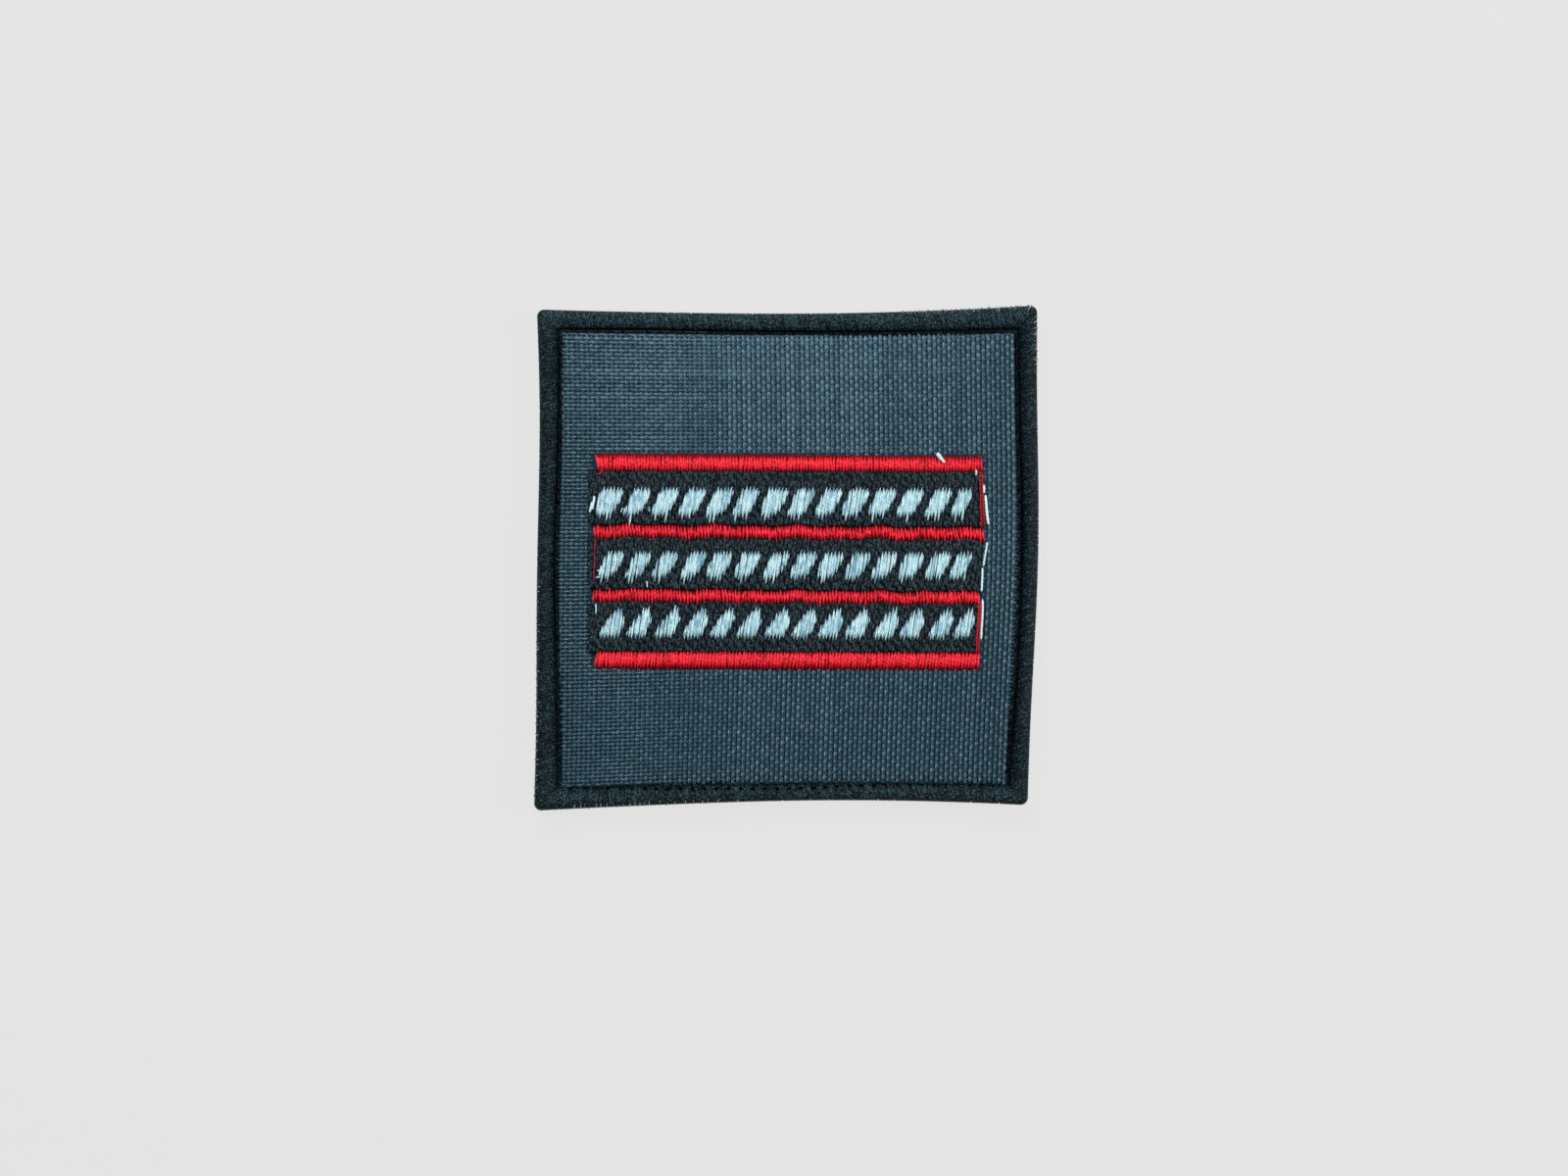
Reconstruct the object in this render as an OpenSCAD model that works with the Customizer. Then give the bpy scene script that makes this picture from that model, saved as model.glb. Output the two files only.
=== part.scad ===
// Embroidered rank patch. A square of woven cloth with a satin-stitched border is backed
// by a hook tape, and carries black stitched bands between red satin stripes, with a row
// of slanted pale blue satin dashes on each band.
// It lies face up: +Z is up and +Y runs to its top edge. The origin is on the surface
// that it lies on, under the middle of its outline. Sizes are in millimetres.

/* [Outline] */
// Width between the corners, before each is drawn in or out
patch_w = 51; // [48:0.5:54]
// Height between the corners
patch_h = 51; // [48:0.5:54]
// Radius of the corners, seen from above
corner_r = 0.8; // [0.5:0.1:1.4]
// How strongly the sides bow, as a share of the bows in the table of sides
bow = 1; // [0:0.1:1.2]
// How strongly the corners curl up, as a share of the lifts in the table of corners
curl = 1; // [0:0.1:1.4]

/* [Layers] */
// Thickness of the hook tape, hooks included
hook_t = 1.3; // [1:0.1:2]
// How far the hook tape's edge lies inside the patch's edge
hook_inset = 1.6; // [1.2:0.1:2]
// Thickness of the cloth with its stiffening
cloth_t = 1.35; // [1.3:0.05:2]
// Gap that keeps neighbouring pieces apart
clear = 0.04; // [0.02:0.01:0.06]

/* [Border] */
// Width of the border on the face
border_w = 2.2; // [1.8:0.1:2.8]
// Height of the border's crown above the cloth
border_h = 0.45; // [0.3:0.05:0.7]
// Thickness of the border's threads behind the cloth
wrap_t = 0.3; // [0.2:0.05:0.3]
// Width of the border behind the cloth
wrap_w = 2; // [1.8:0.1:2.6]
// Thickness of the border's threads round the cloth's edge
edge_t = 0.5; // [0.3:0.05:0.7]

/* [Stitching] */
// Height of the black fill above the cloth
fill_h = 0.3; // [0.2:0.05:0.4]
// Height of the red stripes above the cloth
stripe_h = 0.48; // [0.3:0.05:0.7]
// Height of the dashes above the black fill
dash_h = 0.24; // [0.15:0.05:0.4]
// Width of a dash from its left tip to its right tip
dash_w = 2.6; // [2:0.1:2.7]
// Dashes in each row
dash_count = 14; // [8:1:14]

/* [Hidden] */
ROW_COUNT = 3;
STRIPE_COUNT = 4;
two_digits = 10;

// Each corner, from the lower left and on anticlockwise
CORNERS = [
    // x side, y side, shift in x, shift in y, lift
    [-1, -1, -0.2, -0.3, 0.6],
    [1, -1, -0.9, 0.3, 0.9],
    [1, 1, 0.05, 0.2, 1.1],
    [-1, 1, 0.1, -0.2, 0.7]
];

// How far each side is drawn in, or bulges where it is negative, and how wide its border
// is against the width above
SIDES = [
    // bow at one quarter, at one half, at three quarters, share of the width
    [0.42, 0.69, 0.55, 0.87],
    [-0.31, -0.64, -0.35, 1.04],
    [0.36, 0.58, 0.45, 0.95],
    [0.14, 0.16, 0.32, 1.04]
];
bottom = 0;
right = 1;
top = 2;
left = 3;

// The red stripes, from the top
STRIPES = [
    // left end, right end, top at the left, top at the right, foot at the left,
    // foot at the right, how far its edges wander
    [-19.6, 20, 10.57, 10.29, 8.88, 8.74, 0],
    [-19.7, 20.2, 3.48, 3.13, 2.08, 1.8, 0.09],
    [-19.8, 19.7, -3.15, -3.43, -4.42, -4.77, 0.07],
    [-19.5, 19.7, -9.54, -9.68, -11.15, -11.3, 0]
];

// The black bands' ends, from the top
BANDS = [
    // left end, right end
    [-20, 20],
    [-19.95, 19.95],
    [-20, 19.7]
];

// The rows of dashes, from the top
ROWS = [
    // first middle, last middle, top, foot, fall from left to right, turned half round
    [-17.9, 17.95, 7.2, 3.95, 0.08, false],
    [-17.8, 17.9, 0.85, -2.4, 0.14, false],
    [-17.7, 18.1, -4.85, -8.25, 0.12, true]
];

// A dash's outline, as shares of its width and height
DASH_FORM = [
    // across, up
    [0, 0.28],
    [0.1, 0],
    [0.52, 0.06],
    [1, 0.72],
    [0.97, 1],
    [0.3, 0.97]
];

// Heights of the layers above the surface
hook_top = hook_t;
cloth_foot = hook_top + clear;
cloth_top = cloth_foot + cloth_t;
wrap_top = cloth_foot + wrap_t;
rim_foot = wrap_top + clear;
stitch_foot = cloth_top + clear;
dash_foot = stitch_foot + fill_h + clear;

// The corners curl only outside a flat middle, which holds all the stitching
flat_x = 18.3;
flat_y = 12;
flat_inset = patch_w / 2 - flat_x;
curl_power = 2;
corner_steps = 4;
side_steps = 14;
sheet_steps = 5;
least_r = 0.15;
hook_corner_r = 1.2;

// A satin stripe's section across its threads
crown_steps = 8;
crown_power = 2.6;
crown_edge = 0.12;
stripe_steps = 40;
wander_long = 7.9;
wander_short = 4.3;
wander_share = 0.7;
wander_phase = 40;

// A dash slopes in to its top
dash_edge = 0.08;
dash_top_share = 0.8;

cloth_colour = [0.2, 0.3, 0.35];
border_colour = [0.11, 0.17, 0.19];
hook_colour = [0.08, 0.09, 0.1];
black_colour = [0.13, 0.17, 0.2];
red_colour = [0.84, 0.13, 0.2];
blue_colour = [0.68, 0.82, 0.86];

function dash_name(row, place) =
    str("dash_", row, "_", place < two_digits ? "0" : "", place);
function mix(a, b, share) = a + (b - a) * share;
function clamp(share) = max(0, min(1, share));

// A curve through a side's three bows that starts and ends at nothing
function bow_at(side, share) =
    let (
        quarter = SIDES[side][0],
        half = SIDES[side][1],
        last = SIDES[side][2],
        ends = (quarter + last) / (2 * sin(45))
    )
    bow * (
        (ends + half) / 2 * sin(180 * share)
        + (quarter - last) / 2 * sin(360 * share)
        + (ends - half) / 2 * sin(540 * share)
    );

// A column of the corners' table, blended across the patch
function corner_blend(column, u, v) = mix(
    mix(CORNERS[0][column], CORNERS[1][column], u),
    mix(CORNERS[3][column], CORNERS[2][column], u),
    v
);

// Where a point of the true rectangle lies on the real patch, seen from above
function bowed(p) =
    let (u = p.x / patch_w + 0.5, v = p.y / patch_h + 0.5)
    [
        p.x + corner_blend(2, u, v) + mix(bow_at(left, v), -bow_at(right, v), u),
        p.y + corner_blend(3, u, v) + mix(bow_at(bottom, u), -bow_at(top, u), v)
    ];

// How high the patch is curled up there
function rise(from, to, a) = pow(clamp((abs(a) - from) / (to - from)), curl_power);
function lift(p) =
    curl * corner_blend(4, p.x / patch_w + 0.5, p.y / patch_h + 0.5)
    * rise(flat_x, patch_w / 2, p.x) * rise(flat_y, patch_h / 2, p.y);

// A rectangle with round corners, inset from the patch's edge by each side's share
function corner_arc(k, inset, r) =
    let (
        x_side = CORNERS[k][0],
        y_side = CORNERS[k][1],
        x_inset = inset * SIDES[x_side < 0 ? left : right][3],
        y_inset = inset * SIDES[y_side < 0 ? bottom : top][3]
    )
    [
        for (i = [0:corner_steps])
            let (turn = 180 + 90 * (k + i / corner_steps))
            [
                x_side * (patch_w / 2 - x_inset - r) + r * cos(turn),
                y_side * (patch_h / 2 - y_inset - r) + r * sin(turn)
            ]
    ];
function side_between(a, b) = [
    for (i = [1:side_steps]) mix(a, b, i / (side_steps + 1))
];
function flat_loop(inset, r) =
    let (arcs = [for (k = [0:3]) corner_arc(k, inset, r)])
    [
        for (k = [0:3])
            each concat(arcs[k], side_between(arcs[k][corner_steps], arcs[(k + 1) % 4][0]))
    ];

// The middle of the outline's box, which the origin lies under
outline = [for (p = flat_loop(0, corner_r)) bowed(p)];
outline_x = [for (p = outline) p.x];
outline_y = [for (p = outline) p.y];
middle = [
    (min(outline_x) + max(outline_x)) / 2,
    (min(outline_y) + max(outline_y)) / 2
];

// The same loop on the patch, at a height that follows its curl
function loop(inset, z, r) = [
    for (p = flat_loop(inset, r))
        let (spot = bowed(p) - middle)
        [spot.x, spot.y, z + lift(p)]
];

// A solid from loops of one size: sides join each loop to the next
module loops_solid(loops, closed) {
    size = len(loops[0]);
    count = len(loops);
    last = closed ? count - 1 : count - 2;
    sides = [
        for (row = [0:last], i = [0:size - 1])
            let (
                a = row * size,
                b = ((row + 1) % count) * size,
                j = (i + 1) % size
            )
            each [[a + i, b + i, a + j], [a + j, b + i, b + j]]
    ];
    caps = closed ? [] : [
        [for (i = [0:size - 1]) i],
        [for (i = [0:size - 1]) count * size - 1 - i]
    ];
    polyhedron(points = [for (ring = loops) each ring], faces = concat(sides, caps));
}

// A sheet that follows the patch, from its rows of [inset, height], underside first
module sheet(rows, r) {
    edge = min([for (row = rows) row[0]]);
    loops_solid(
        [for (row = rows) loop(row[0], row[1], max(r - (row[0] - edge), least_r))],
        false
    );
}

// Rows from the flat middle out to an edge at one height, and the same rows back in
function rows_out(edge, z) = [
    for (i = [0:sheet_steps]) [mix(flat_inset, edge, i / sheet_steps), z]
];
function rows_in(edge, z) = [
    for (i = [sheet_steps:-1:0]) [mix(flat_inset, edge, i / sheet_steps), z]
];

// The hook tape lies under the cloth and rests on the surface
module hook_backing() {
    color(hook_colour)
        sheet(concat(rows_out(hook_inset, 0), rows_in(hook_inset, hook_top)), hook_corner_r);
}

// The cloth is thinner at its rim, where the border's threads wrap round it
module ground_cloth() {
    edge = edge_t + clear;
    step = wrap_w + clear;
    color(cloth_colour)
        sheet(
            concat(
                rows_out(step, cloth_foot),
                [[step, rim_foot], [edge, rim_foot]],
                rows_in(edge, cloth_top)
            ),
            corner_r - edge
        );
}

// The border's section: its crown, its round outer side, its wrap and the cloth's slot
BORDER_SECTION = [
    // inset, height
    [border_w, stitch_foot],
    [border_w, stitch_foot + border_h * 0.35],
    [border_w * 0.86, stitch_foot + border_h * 0.75],
    [border_w * 0.62, stitch_foot + border_h],
    [border_w * 0.36, stitch_foot + border_h],
    [border_w * 0.14, stitch_foot + border_h * 0.65],
    [0.08, stitch_foot],
    [0, (wrap_top + stitch_foot) / 2],
    [0.1, wrap_top],
    [0.4, cloth_foot],
    [wrap_w, cloth_foot],
    [wrap_w, wrap_top],
    [edge_t, wrap_top],
    [edge_t, stitch_foot]
];
module border() {
    color(border_colour)
        loops_solid(
            [for (row = BORDER_SECTION) loop(row[0], row[1], max(corner_r - row[0], least_r))],
            true
        );
}

// The height of a stripe's top or foot edge at x; the middle stripes' edges wander
function wander(x) =
    sin(360 * x / wander_short) + wander_share * sin(360 * x / wander_long + wander_phase);
function edge_y(stripe, column, x) =
    let (row = STRIPES[stripe], share = (x - row[0]) / (row[1] - row[0]))
    mix(row[column], row[column + 1], share) + row[6] * wander(x) - middle.y;
function top_y(stripe, x) = edge_y(stripe, 2, x);
function foot_y(stripe, x) = edge_y(stripe, 4, x);
function along(row, i) = mix(row[0], row[1], i / stripe_steps) - middle.x;

// A stripe's threads run across it, so it is crowned from its foot to its top
module red_stripe(k) {
    row = STRIPES[k - 1];
    sections = [
        for (i = [0:stripe_steps])
            let (
                x = along(row, i),
                foot = foot_y(k - 1, x),
                head = top_y(k - 1, x)
            )
            concat(
                [[x, foot, stitch_foot]],
                [
                    for (n = [0:crown_steps])
                        let (
                            share = n / crown_steps,
                            bend = pow(abs(2 * share - 1), crown_power)
                        )
                        [x, mix(foot, head, share), stitch_foot + mix(stripe_h, crown_edge, bend)]
                ],
                [[x, head, stitch_foot]]
            )
    ];
    color(red_colour) loops_solid(sections, false);
}

// The black fill lies between two stripes and takes their edges
module black_band(k) {
    row = BANDS[k - 1];
    upper = [for (i = [0:stripe_steps]) [along(row, i), foot_y(k - 1, along(row, i)) - clear]];
    lower = [for (i = [stripe_steps:-1:0]) [along(row, i), top_y(k, along(row, i)) + clear]];
    color(black_colour)
        translate([0, 0, stitch_foot])
            linear_extrude(fill_h) polygon(concat(upper, lower));
}

// One slanted satin dash, a low pillow on the black fill
module dash(row_number, place) {
    row = ROWS[row_number - 1];
    share = (place - 1) / (dash_count - 1);
    size = [dash_w, row[2] - row[3]];
    centre = [mix(row[0], row[1], share), (row[2] + row[3]) / 2 - row[4] * share] - middle;
    form = [for (p = DASH_FORM) [(p.x - 0.5) * size.x, (p.y - 0.5) * size.y]];
    color(blue_colour)
        translate([centre.x, centre.y, dash_foot])
            rotate(row[5] ? 180 : 0)
                hull() {
                    linear_extrude(dash_edge) polygon(form);
                    linear_extrude(dash_h) scale(dash_top_share) polygon(form);
                }
}

ground_cloth();
border();
hook_backing();
for (k = [1:ROW_COUNT])
    black_band(k);
for (k = [1:STRIPE_COUNT])
    red_stripe(k);
for (row = [1:ROW_COUNT], place = [1:dash_count])
    dash(row, place);
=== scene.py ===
# %% [markdown]
# # An embroidered rank patch
#
# The real thing is a square of heavy plain-woven cloth with a thick satin-stitched rim.
# On the cloth lies a block of stitching: black filled bands between red satin stripes,
# with a row of slanted pale blue dashes on each band. Nearly all that the eye meets is
# thread, so this scene sews real threads as thin tubes instead of painting a picture of
# them: then light and shadow fall between them from every side.

import math

import bpy
import numpy as np
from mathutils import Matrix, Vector


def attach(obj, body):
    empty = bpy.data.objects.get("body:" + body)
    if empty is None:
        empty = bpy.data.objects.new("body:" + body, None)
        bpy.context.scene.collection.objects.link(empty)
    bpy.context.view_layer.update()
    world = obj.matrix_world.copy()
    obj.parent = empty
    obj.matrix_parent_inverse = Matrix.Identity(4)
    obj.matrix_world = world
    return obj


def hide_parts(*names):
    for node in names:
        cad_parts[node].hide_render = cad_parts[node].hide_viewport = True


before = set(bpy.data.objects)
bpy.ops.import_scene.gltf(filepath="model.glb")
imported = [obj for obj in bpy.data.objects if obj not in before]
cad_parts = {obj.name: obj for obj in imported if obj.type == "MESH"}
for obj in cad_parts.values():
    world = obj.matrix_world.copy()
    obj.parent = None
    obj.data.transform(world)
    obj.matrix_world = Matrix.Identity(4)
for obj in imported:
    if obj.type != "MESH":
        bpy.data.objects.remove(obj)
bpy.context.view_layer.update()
print("solids:", len(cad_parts))

# %% [markdown]
# ## The outline
#
# A sewn patch is never quite square: its corners are pulled in or out and its sides bow.
# The solids already have this outline, so the scene repeats their tables and formulas.
# Everything below is planned on a true 51 mm square and then carried to the real patch
# by one function, `placed`, which keeps cloth, rim and stitches together.

# %% Sizes, in millimetres
MM = 0.001
PATCH = 51.0
HALF = PATCH / 2
CORNER_R = 0.8
# the least radius that an inset corner keeps
LEAST_R = 0.15
# heights above the floor
HOOK_TOP = 1.3
CLOTH_FOOT = 1.34
CLOTH_TOP = 2.69
BORDER_W = 2.2

# %% The tables of corners and sides
# x side, y side, shift in x, shift in y, lift; from the lower left and on anticlockwise
CORNERS = [
    (-1, -1, -0.2, -0.3, 0.6),
    (1, -1, -0.9, 0.3, 0.9),
    (1, 1, 0.05, 0.2, 1.1),
    (-1, 1, 0.1, -0.2, 0.7),
]
# bow at one quarter, at one half, at three quarters, share of the border's width
SIDES = [
    (0.42, 0.69, 0.55, 0.87),
    (-0.31, -0.64, -0.35, 1.04),
    (0.36, 0.58, 0.45, 0.95),
    (0.14, 0.16, 0.32, 1.04),
]
BOTTOM, RIGHT, TOP, LEFT = range(4)
SHIFT_X, SHIFT_Y, LIFT = 2, 3, 4


# %% From the true square to the real patch
def mix(a, b, share):
    return a + (b - a) * share


def ramp(value, start, end):
    """0 up to start and 1 from end on. It also falls, where end is lower than start."""
    return np.clip((value - start) / (end - start), 0, 1)


def bow_at(side, share):
    """How far a side is drawn in there: a curve through its three bows."""
    quarter, half, last, _ = SIDES[side]
    ends = (quarter + last) / math.sqrt(2)
    turn = np.pi * share
    return (
        (ends + half) / 2 * np.sin(turn)
        + (quarter - last) / 2 * np.sin(2 * turn)
        + (ends - half) / 2 * np.sin(3 * turn)
    )


def corner_blend(column, u, v):
    low = mix(CORNERS[0][column], CORNERS[1][column], u)
    high = mix(CORNERS[3][column], CORNERS[2][column], u)
    return mix(low, high, v)


def shares(x, y):
    """A point of the true square as shares of the way across it and up it."""
    return x / PATCH + 0.5, y / PATCH + 0.5


def bow(x, y):
    u, v = shares(x, y)
    across = mix(bow_at(LEFT, v), -bow_at(RIGHT, v), u)
    up = mix(bow_at(BOTTOM, u), -bow_at(TOP, u), v)
    return x + corner_blend(SHIFT_X, u, v) + across, y + corner_blend(SHIFT_Y, u, v) + up


# %% The curl of the corners
FLAT_X = 18.3
FLAT_Y = 12.0


def rise(start, a):
    """0 as far as start from the middle line, and 1 at the edge."""
    return ramp(np.abs(a), start, HALF) ** 2


def lift(x, y):
    return corner_blend(LIFT, *shares(x, y)) * rise(FLAT_X, x) * rise(FLAT_Y, y)


# %% A rectangle with round corners, inset by each side's share
def flat_loop(inset, radius, corner_steps=6, side_steps=44):
    found = []
    for k, (x_side, y_side, *_) in enumerate(CORNERS):
        x_inset = inset * SIDES[LEFT if x_side < 0 else RIGHT][3]
        y_inset = inset * SIDES[BOTTOM if y_side < 0 else TOP][3]
        turn = np.pi + np.pi / 2 * (k + np.linspace(0, 1, corner_steps + 1))
        found.append(
            np.stack(
                [
                    x_side * (HALF - x_inset - radius) + radius * np.cos(turn),
                    y_side * (HALF - y_inset - radius) + radius * np.sin(turn),
                ],
                axis=1,
            )
        )
    share = np.arange(1, side_steps + 1)[:, None] / (side_steps + 1)
    rows = []
    for k in range(4):
        rows += [found[k], mix(found[k][-1], found[(k + 1) % 4][0], share)]
    return np.concatenate(rows)


outline = np.stack(bow(*flat_loop(0, CORNER_R, 4, 14).T), axis=1)
MIDDLE = (outline.min(0) + outline.max(0)) / 2
print("middle of the outline:", MIDDLE.round(3))


def placed(x, y, z):
    """Points of the true square as points on the patch, z above the surface it lies on."""
    on_x, on_y = bow(x, y)
    return np.stack([on_x - MIDDLE[0], on_y - MIDDLE[1], z + lift(x, y)], axis=-1)


# %% [markdown]
# ## Camera, floor and light
#
# The photo looks straight down from a fair distance, so a long lens over the patch gives
# the same view. The floor is plain and pale. Thread only looks like thread when light
# rakes over it, so one soft light stands above the top edge and a weaker one stands to
# the right: threads that run across the page catch the first, and threads that run up it
# catch the second.

# %% Camera
LENS = 85.0
SENSOR = 36.0
# width of what the camera sees at the height of the cloth, in mm
VIEW_W = 159.8
OFF_X, OFF_Y = -0.25, -3.03

camera_data = bpy.data.cameras.new("camera")
camera_data.lens = LENS
camera_data.sensor_width = SENSOR
camera_data.clip_start, camera_data.clip_end = 0.01, 10.0
camera = bpy.data.objects.new("camera", camera_data)
bpy.context.scene.collection.objects.link(camera)
camera.location = (OFF_X * MM, OFF_Y * MM, (CLOTH_TOP + VIEW_W * LENS / SENSOR) * MM)
bpy.context.scene.camera = camera
print("camera height in mm:", round(camera.location.z / MM))

# %% Lights
# name, then place, aim and size in metres, and power in watts
SOFT_LIGHTS = [
    ("top_light", (-0.12, 0.38, 0.50), (-0.01, 0, 0), (0.4, 0.2), 2.9),
    ("right_light", (0.46, 0.02, 0.46), (0.01, 0, 0), (0.2, 0.4), 2.1),
]
ROOM_TINT = (0.97, 0.99, 1, 1)
ROOM_STRENGTH = 0.28

for name, place, aim, size, power in SOFT_LIGHTS:
    light_data = bpy.data.lights.new(name, "AREA")
    light_data.shape, light_data.energy = "RECTANGLE", power
    light_data.size, light_data.size_y = size
    light = bpy.data.objects.new(name, light_data)
    light.location = place
    light.rotation_euler = (Vector(aim) - Vector(place)).to_track_quat("-Z", "Y").to_euler()
    bpy.context.scene.collection.objects.link(light)

world = bpy.data.worlds.new("room")
world.use_nodes = True
background = world.node_tree.nodes["Background"].inputs
background["Color"].default_value = ROOM_TINT
background["Strength"].default_value = ROOM_STRENGTH
bpy.context.scene.world = world
bpy.context.scene.view_settings.view_transform = "Standard"
print("lights:", [light[0] for light in SOFT_LIGHTS])

# %% [markdown]
# ## Finishes
#
# Sewing thread is two plies twisted together, made of very fine shining filaments. Its
# finish here has four parts: a tone that differs from thread to thread, a slanted ply
# mark that runs round and along it, fine filament streaks, and a slow drift over the
# whole piece. Each vertex carries where it is on its thread, in attributes named along,
# around and tone, so the marks follow every bend. A fourth, light, makes single places
# lighter or darker: at random, and as painted light and shade in furrows, in pits, on
# proud yarns and on whole sides of the patch. A fifth says how strong a painted highlight
# along the thread's crest is there.

# %% Node helpers
class Finish:
    """A material and short ways to add its nodes."""

    def __init__(self, name):
        self.material = bpy.data.materials.new(name)
        self.material.use_nodes = True
        self.tree = self.material.node_tree
        self.shader = self.tree.nodes["Principled BSDF"]

    def node(self, kind, **settings):
        made = self.tree.nodes.new(kind)
        for name, value in settings.items():
            setattr(made, name, value)
        return made

    def feed(self, socket, value):
        if isinstance(value, bpy.types.NodeSocket):
            self.tree.links.new(value, socket)
        else:
            socket.default_value = value

    def math(self, operation, a, b=0.0, clamp=False):
        made = self.node("ShaderNodeMath", operation=operation, use_clamp=clamp)
        self.feed(made.inputs[0], a)
        self.feed(made.inputs[1], b)
        return made.outputs[0]

    def scaled(self, value, factor, offset):
        """value * factor + offset"""
        made = self.math("MULTIPLY_ADD", value, factor)
        made.node.inputs[2].default_value = offset
        return made

    def carried(self, name):
        return self.node("ShaderNodeAttribute", attribute_name=name).outputs["Fac"]

    def noise(self, scale, detail=2.0, vector=None):
        made = self.node("ShaderNodeTexNoise")
        made.inputs["Scale"].default_value = scale
        made.inputs["Detail"].default_value = detail
        if vector is None:
            vector = self.node("ShaderNodeTexCoord").outputs["Object"]
        self.feed(made.inputs["Vector"], vector)
        return made.outputs["Fac"]

    def blend(self, share, low, high):
        """A colour between two, by share."""
        made = self.node("ShaderNodeMix", data_type="RGBA")
        self.feed(made.inputs["Factor"], share)
        self.feed(made.inputs["A"], low)
        self.feed(made.inputs["B"], high)
        return made.outputs["Result"]

    def raised(self, height, strength, depth):
        """Bump from a height; depth is in mm."""
        made = self.node("ShaderNodeBump")
        made.inputs["Strength"].default_value = strength
        made.inputs["Distance"].default_value = depth * MM
        self.feed(made.inputs["Height"], height)
        self.feed(self.shader.inputs["Normal"], made.outputs[0])


# %% Colours as they read on a screen
def shade(red, green, blue):
    """An 8-bit screen colour as the linear colour that a shader wants."""
    found = []
    for value in (red, green, blue):
        value /= 255
        found.append(value / 12.92 if value <= 0.04045 else ((value + 0.055) / 1.055) ** 2.4)
    return (*found, 1.0)


# %% Parts of the thread finish
# how far a thread's tone moves its ply marks and streaks, so that no two threads are alike
PLY_SHIFT, STREAK_SHIFT = 40.0, 50.0
# how much finer the streaks are round the thread than along it, their scale and detail
STREAK_ROUND, STREAK_SCALE, STREAK_DETAIL = 9.0, 2.2, 3.0
# how far the painted highlight line on a thread's crest fades to both sides, as a share of the
# way round
CREST_WIDE = 0.085


def ply_marks(f, along, around, tone, plies):
    """The slanted marks of the twist: a wave along the thread and twice round it."""
    turn = f.math("MULTIPLY", along, 2 * math.pi * plies)
    turn = f.math("ADD", turn, f.math("MULTIPLY", around, 4 * math.pi))
    return f.math("SINE", f.math("ADD", turn, f.math("MULTIPLY", tone, PLY_SHIFT)))


def filaments(f, along, around, tone):
    """Streaks that are long along the thread and narrow round it."""
    place = f.node("ShaderNodeCombineXYZ")
    f.feed(place.inputs["X"], along)
    f.feed(place.inputs["Y"], f.math("MULTIPLY", around, STREAK_ROUND))
    f.feed(place.inputs["Z"], f.math("MULTIPLY", tone, STREAK_SHIFT))
    return f.noise(STREAK_SCALE, STREAK_DETAIL, place.outputs[0])


def painted_crest_highlight(f, around, crest, painted_glint):
    """A painted highlight line on the thread's crest, as strong as the glint that it carries
    there.
    """
    off_crest = f.math("ABSOLUTE", f.math("SUBTRACT", around, crest))
    on_crest = f.math("SUBTRACT", 1.0, f.math("DIVIDE", off_crest, CREST_WIDE), clamp=True)
    on_crest = f.math("MULTIPLY", on_crest, f.carried("painted_glint"))
    return f.math("MULTIPLY", on_crest, painted_glint)


# %% The thread finish
WHITE = (1.0, 1.0, 1.0, 1.0)
# how much of a thread's tone shows in its colour
TONE_SHOWS = 0.35
GRAIN_DETAIL = 4.0
# how much rougher a light streak is than a dark one
ROUGH_SPAN = 0.3
# strength and depth in mm, and how high the streaks are against the ply marks
THREAD_BUMP = 0.6, 0.03
STREAK_HEIGHT = 1.5


def thread_finish(
    name, low, high, plies=2.6, mark=0.3, streaks=1.1, drift=0.5, grain=900.0, gloss=0.4,
    shine=0.3, tint=WHITE, painted_glint=0.0, crest=0.46,
):
    """low and high are its darkest and lightest colours, plies its marks to a mm, and drift
    and grain the strength and fineness of the slow change over the whole piece. glint is how
    strong the painted highlight on the thread's crest is, and crest where on the way round."""
    f = Finish(name)
    along, around, tone = f.carried("along"), f.carried("around"), f.carried("tone")
    ply = ply_marks(f, along, around, tone, plies)
    streak = filaments(f, along, around, tone)
    share = f.scaled(ply, mark, 0.5)
    share = f.math("ADD", share, f.math("MULTIPLY", tone, TONE_SHOWS))
    # the carried light holds random tone and painted light and shade, and the crest gets a
    # painted highlight
    share = f.math("ADD", share, f.carried("light"))
    share = f.math("ADD", share, f.math("MULTIPLY", f.math("SUBTRACT", streak, 0.5), streaks))
    share = f.math("ADD", share, painted_crest_highlight(f, around, crest, painted_glint))
    slow = f.math("SUBTRACT", f.noise(grain, GRAIN_DETAIL), 0.5)
    share = f.math("ADD", share, f.math("MULTIPLY", slow, drift), clamp=True)
    f.feed(f.shader.inputs["Base Color"], f.blend(share, low, high))
    f.feed(f.shader.inputs["Roughness"], f.scaled(streak, ROUGH_SPAN, gloss - ROUGH_SPAN / 2))
    f.raised(f.math("ADD", ply, f.math("MULTIPLY", streak, STREAK_HEIGHT)), *THREAD_BUMP)
    f.shader.inputs["Specular IOR Level"].default_value = shine
    f.shader.inputs["Specular Tint"].default_value = tint
    return f.material


# %% The finishes of this patch's threads
TEAL = (0.7, 0.9, 1.0, 1.0)
PINK = (1.0, 0.42, 0.48, 1.0)
# the glint values, here and for the red thread, set a painted highlight on each crest
CLOTH_YARN = {
    "low": shade(34, 58, 71), "high": shade(110, 146, 164), "plies": 0.6, "mark": 0.06,
    "streaks": 0.6, "gloss": 0.32, "shine": 0.5, "tint": TEAL, "painted_glint": 1.05,
}
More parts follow.
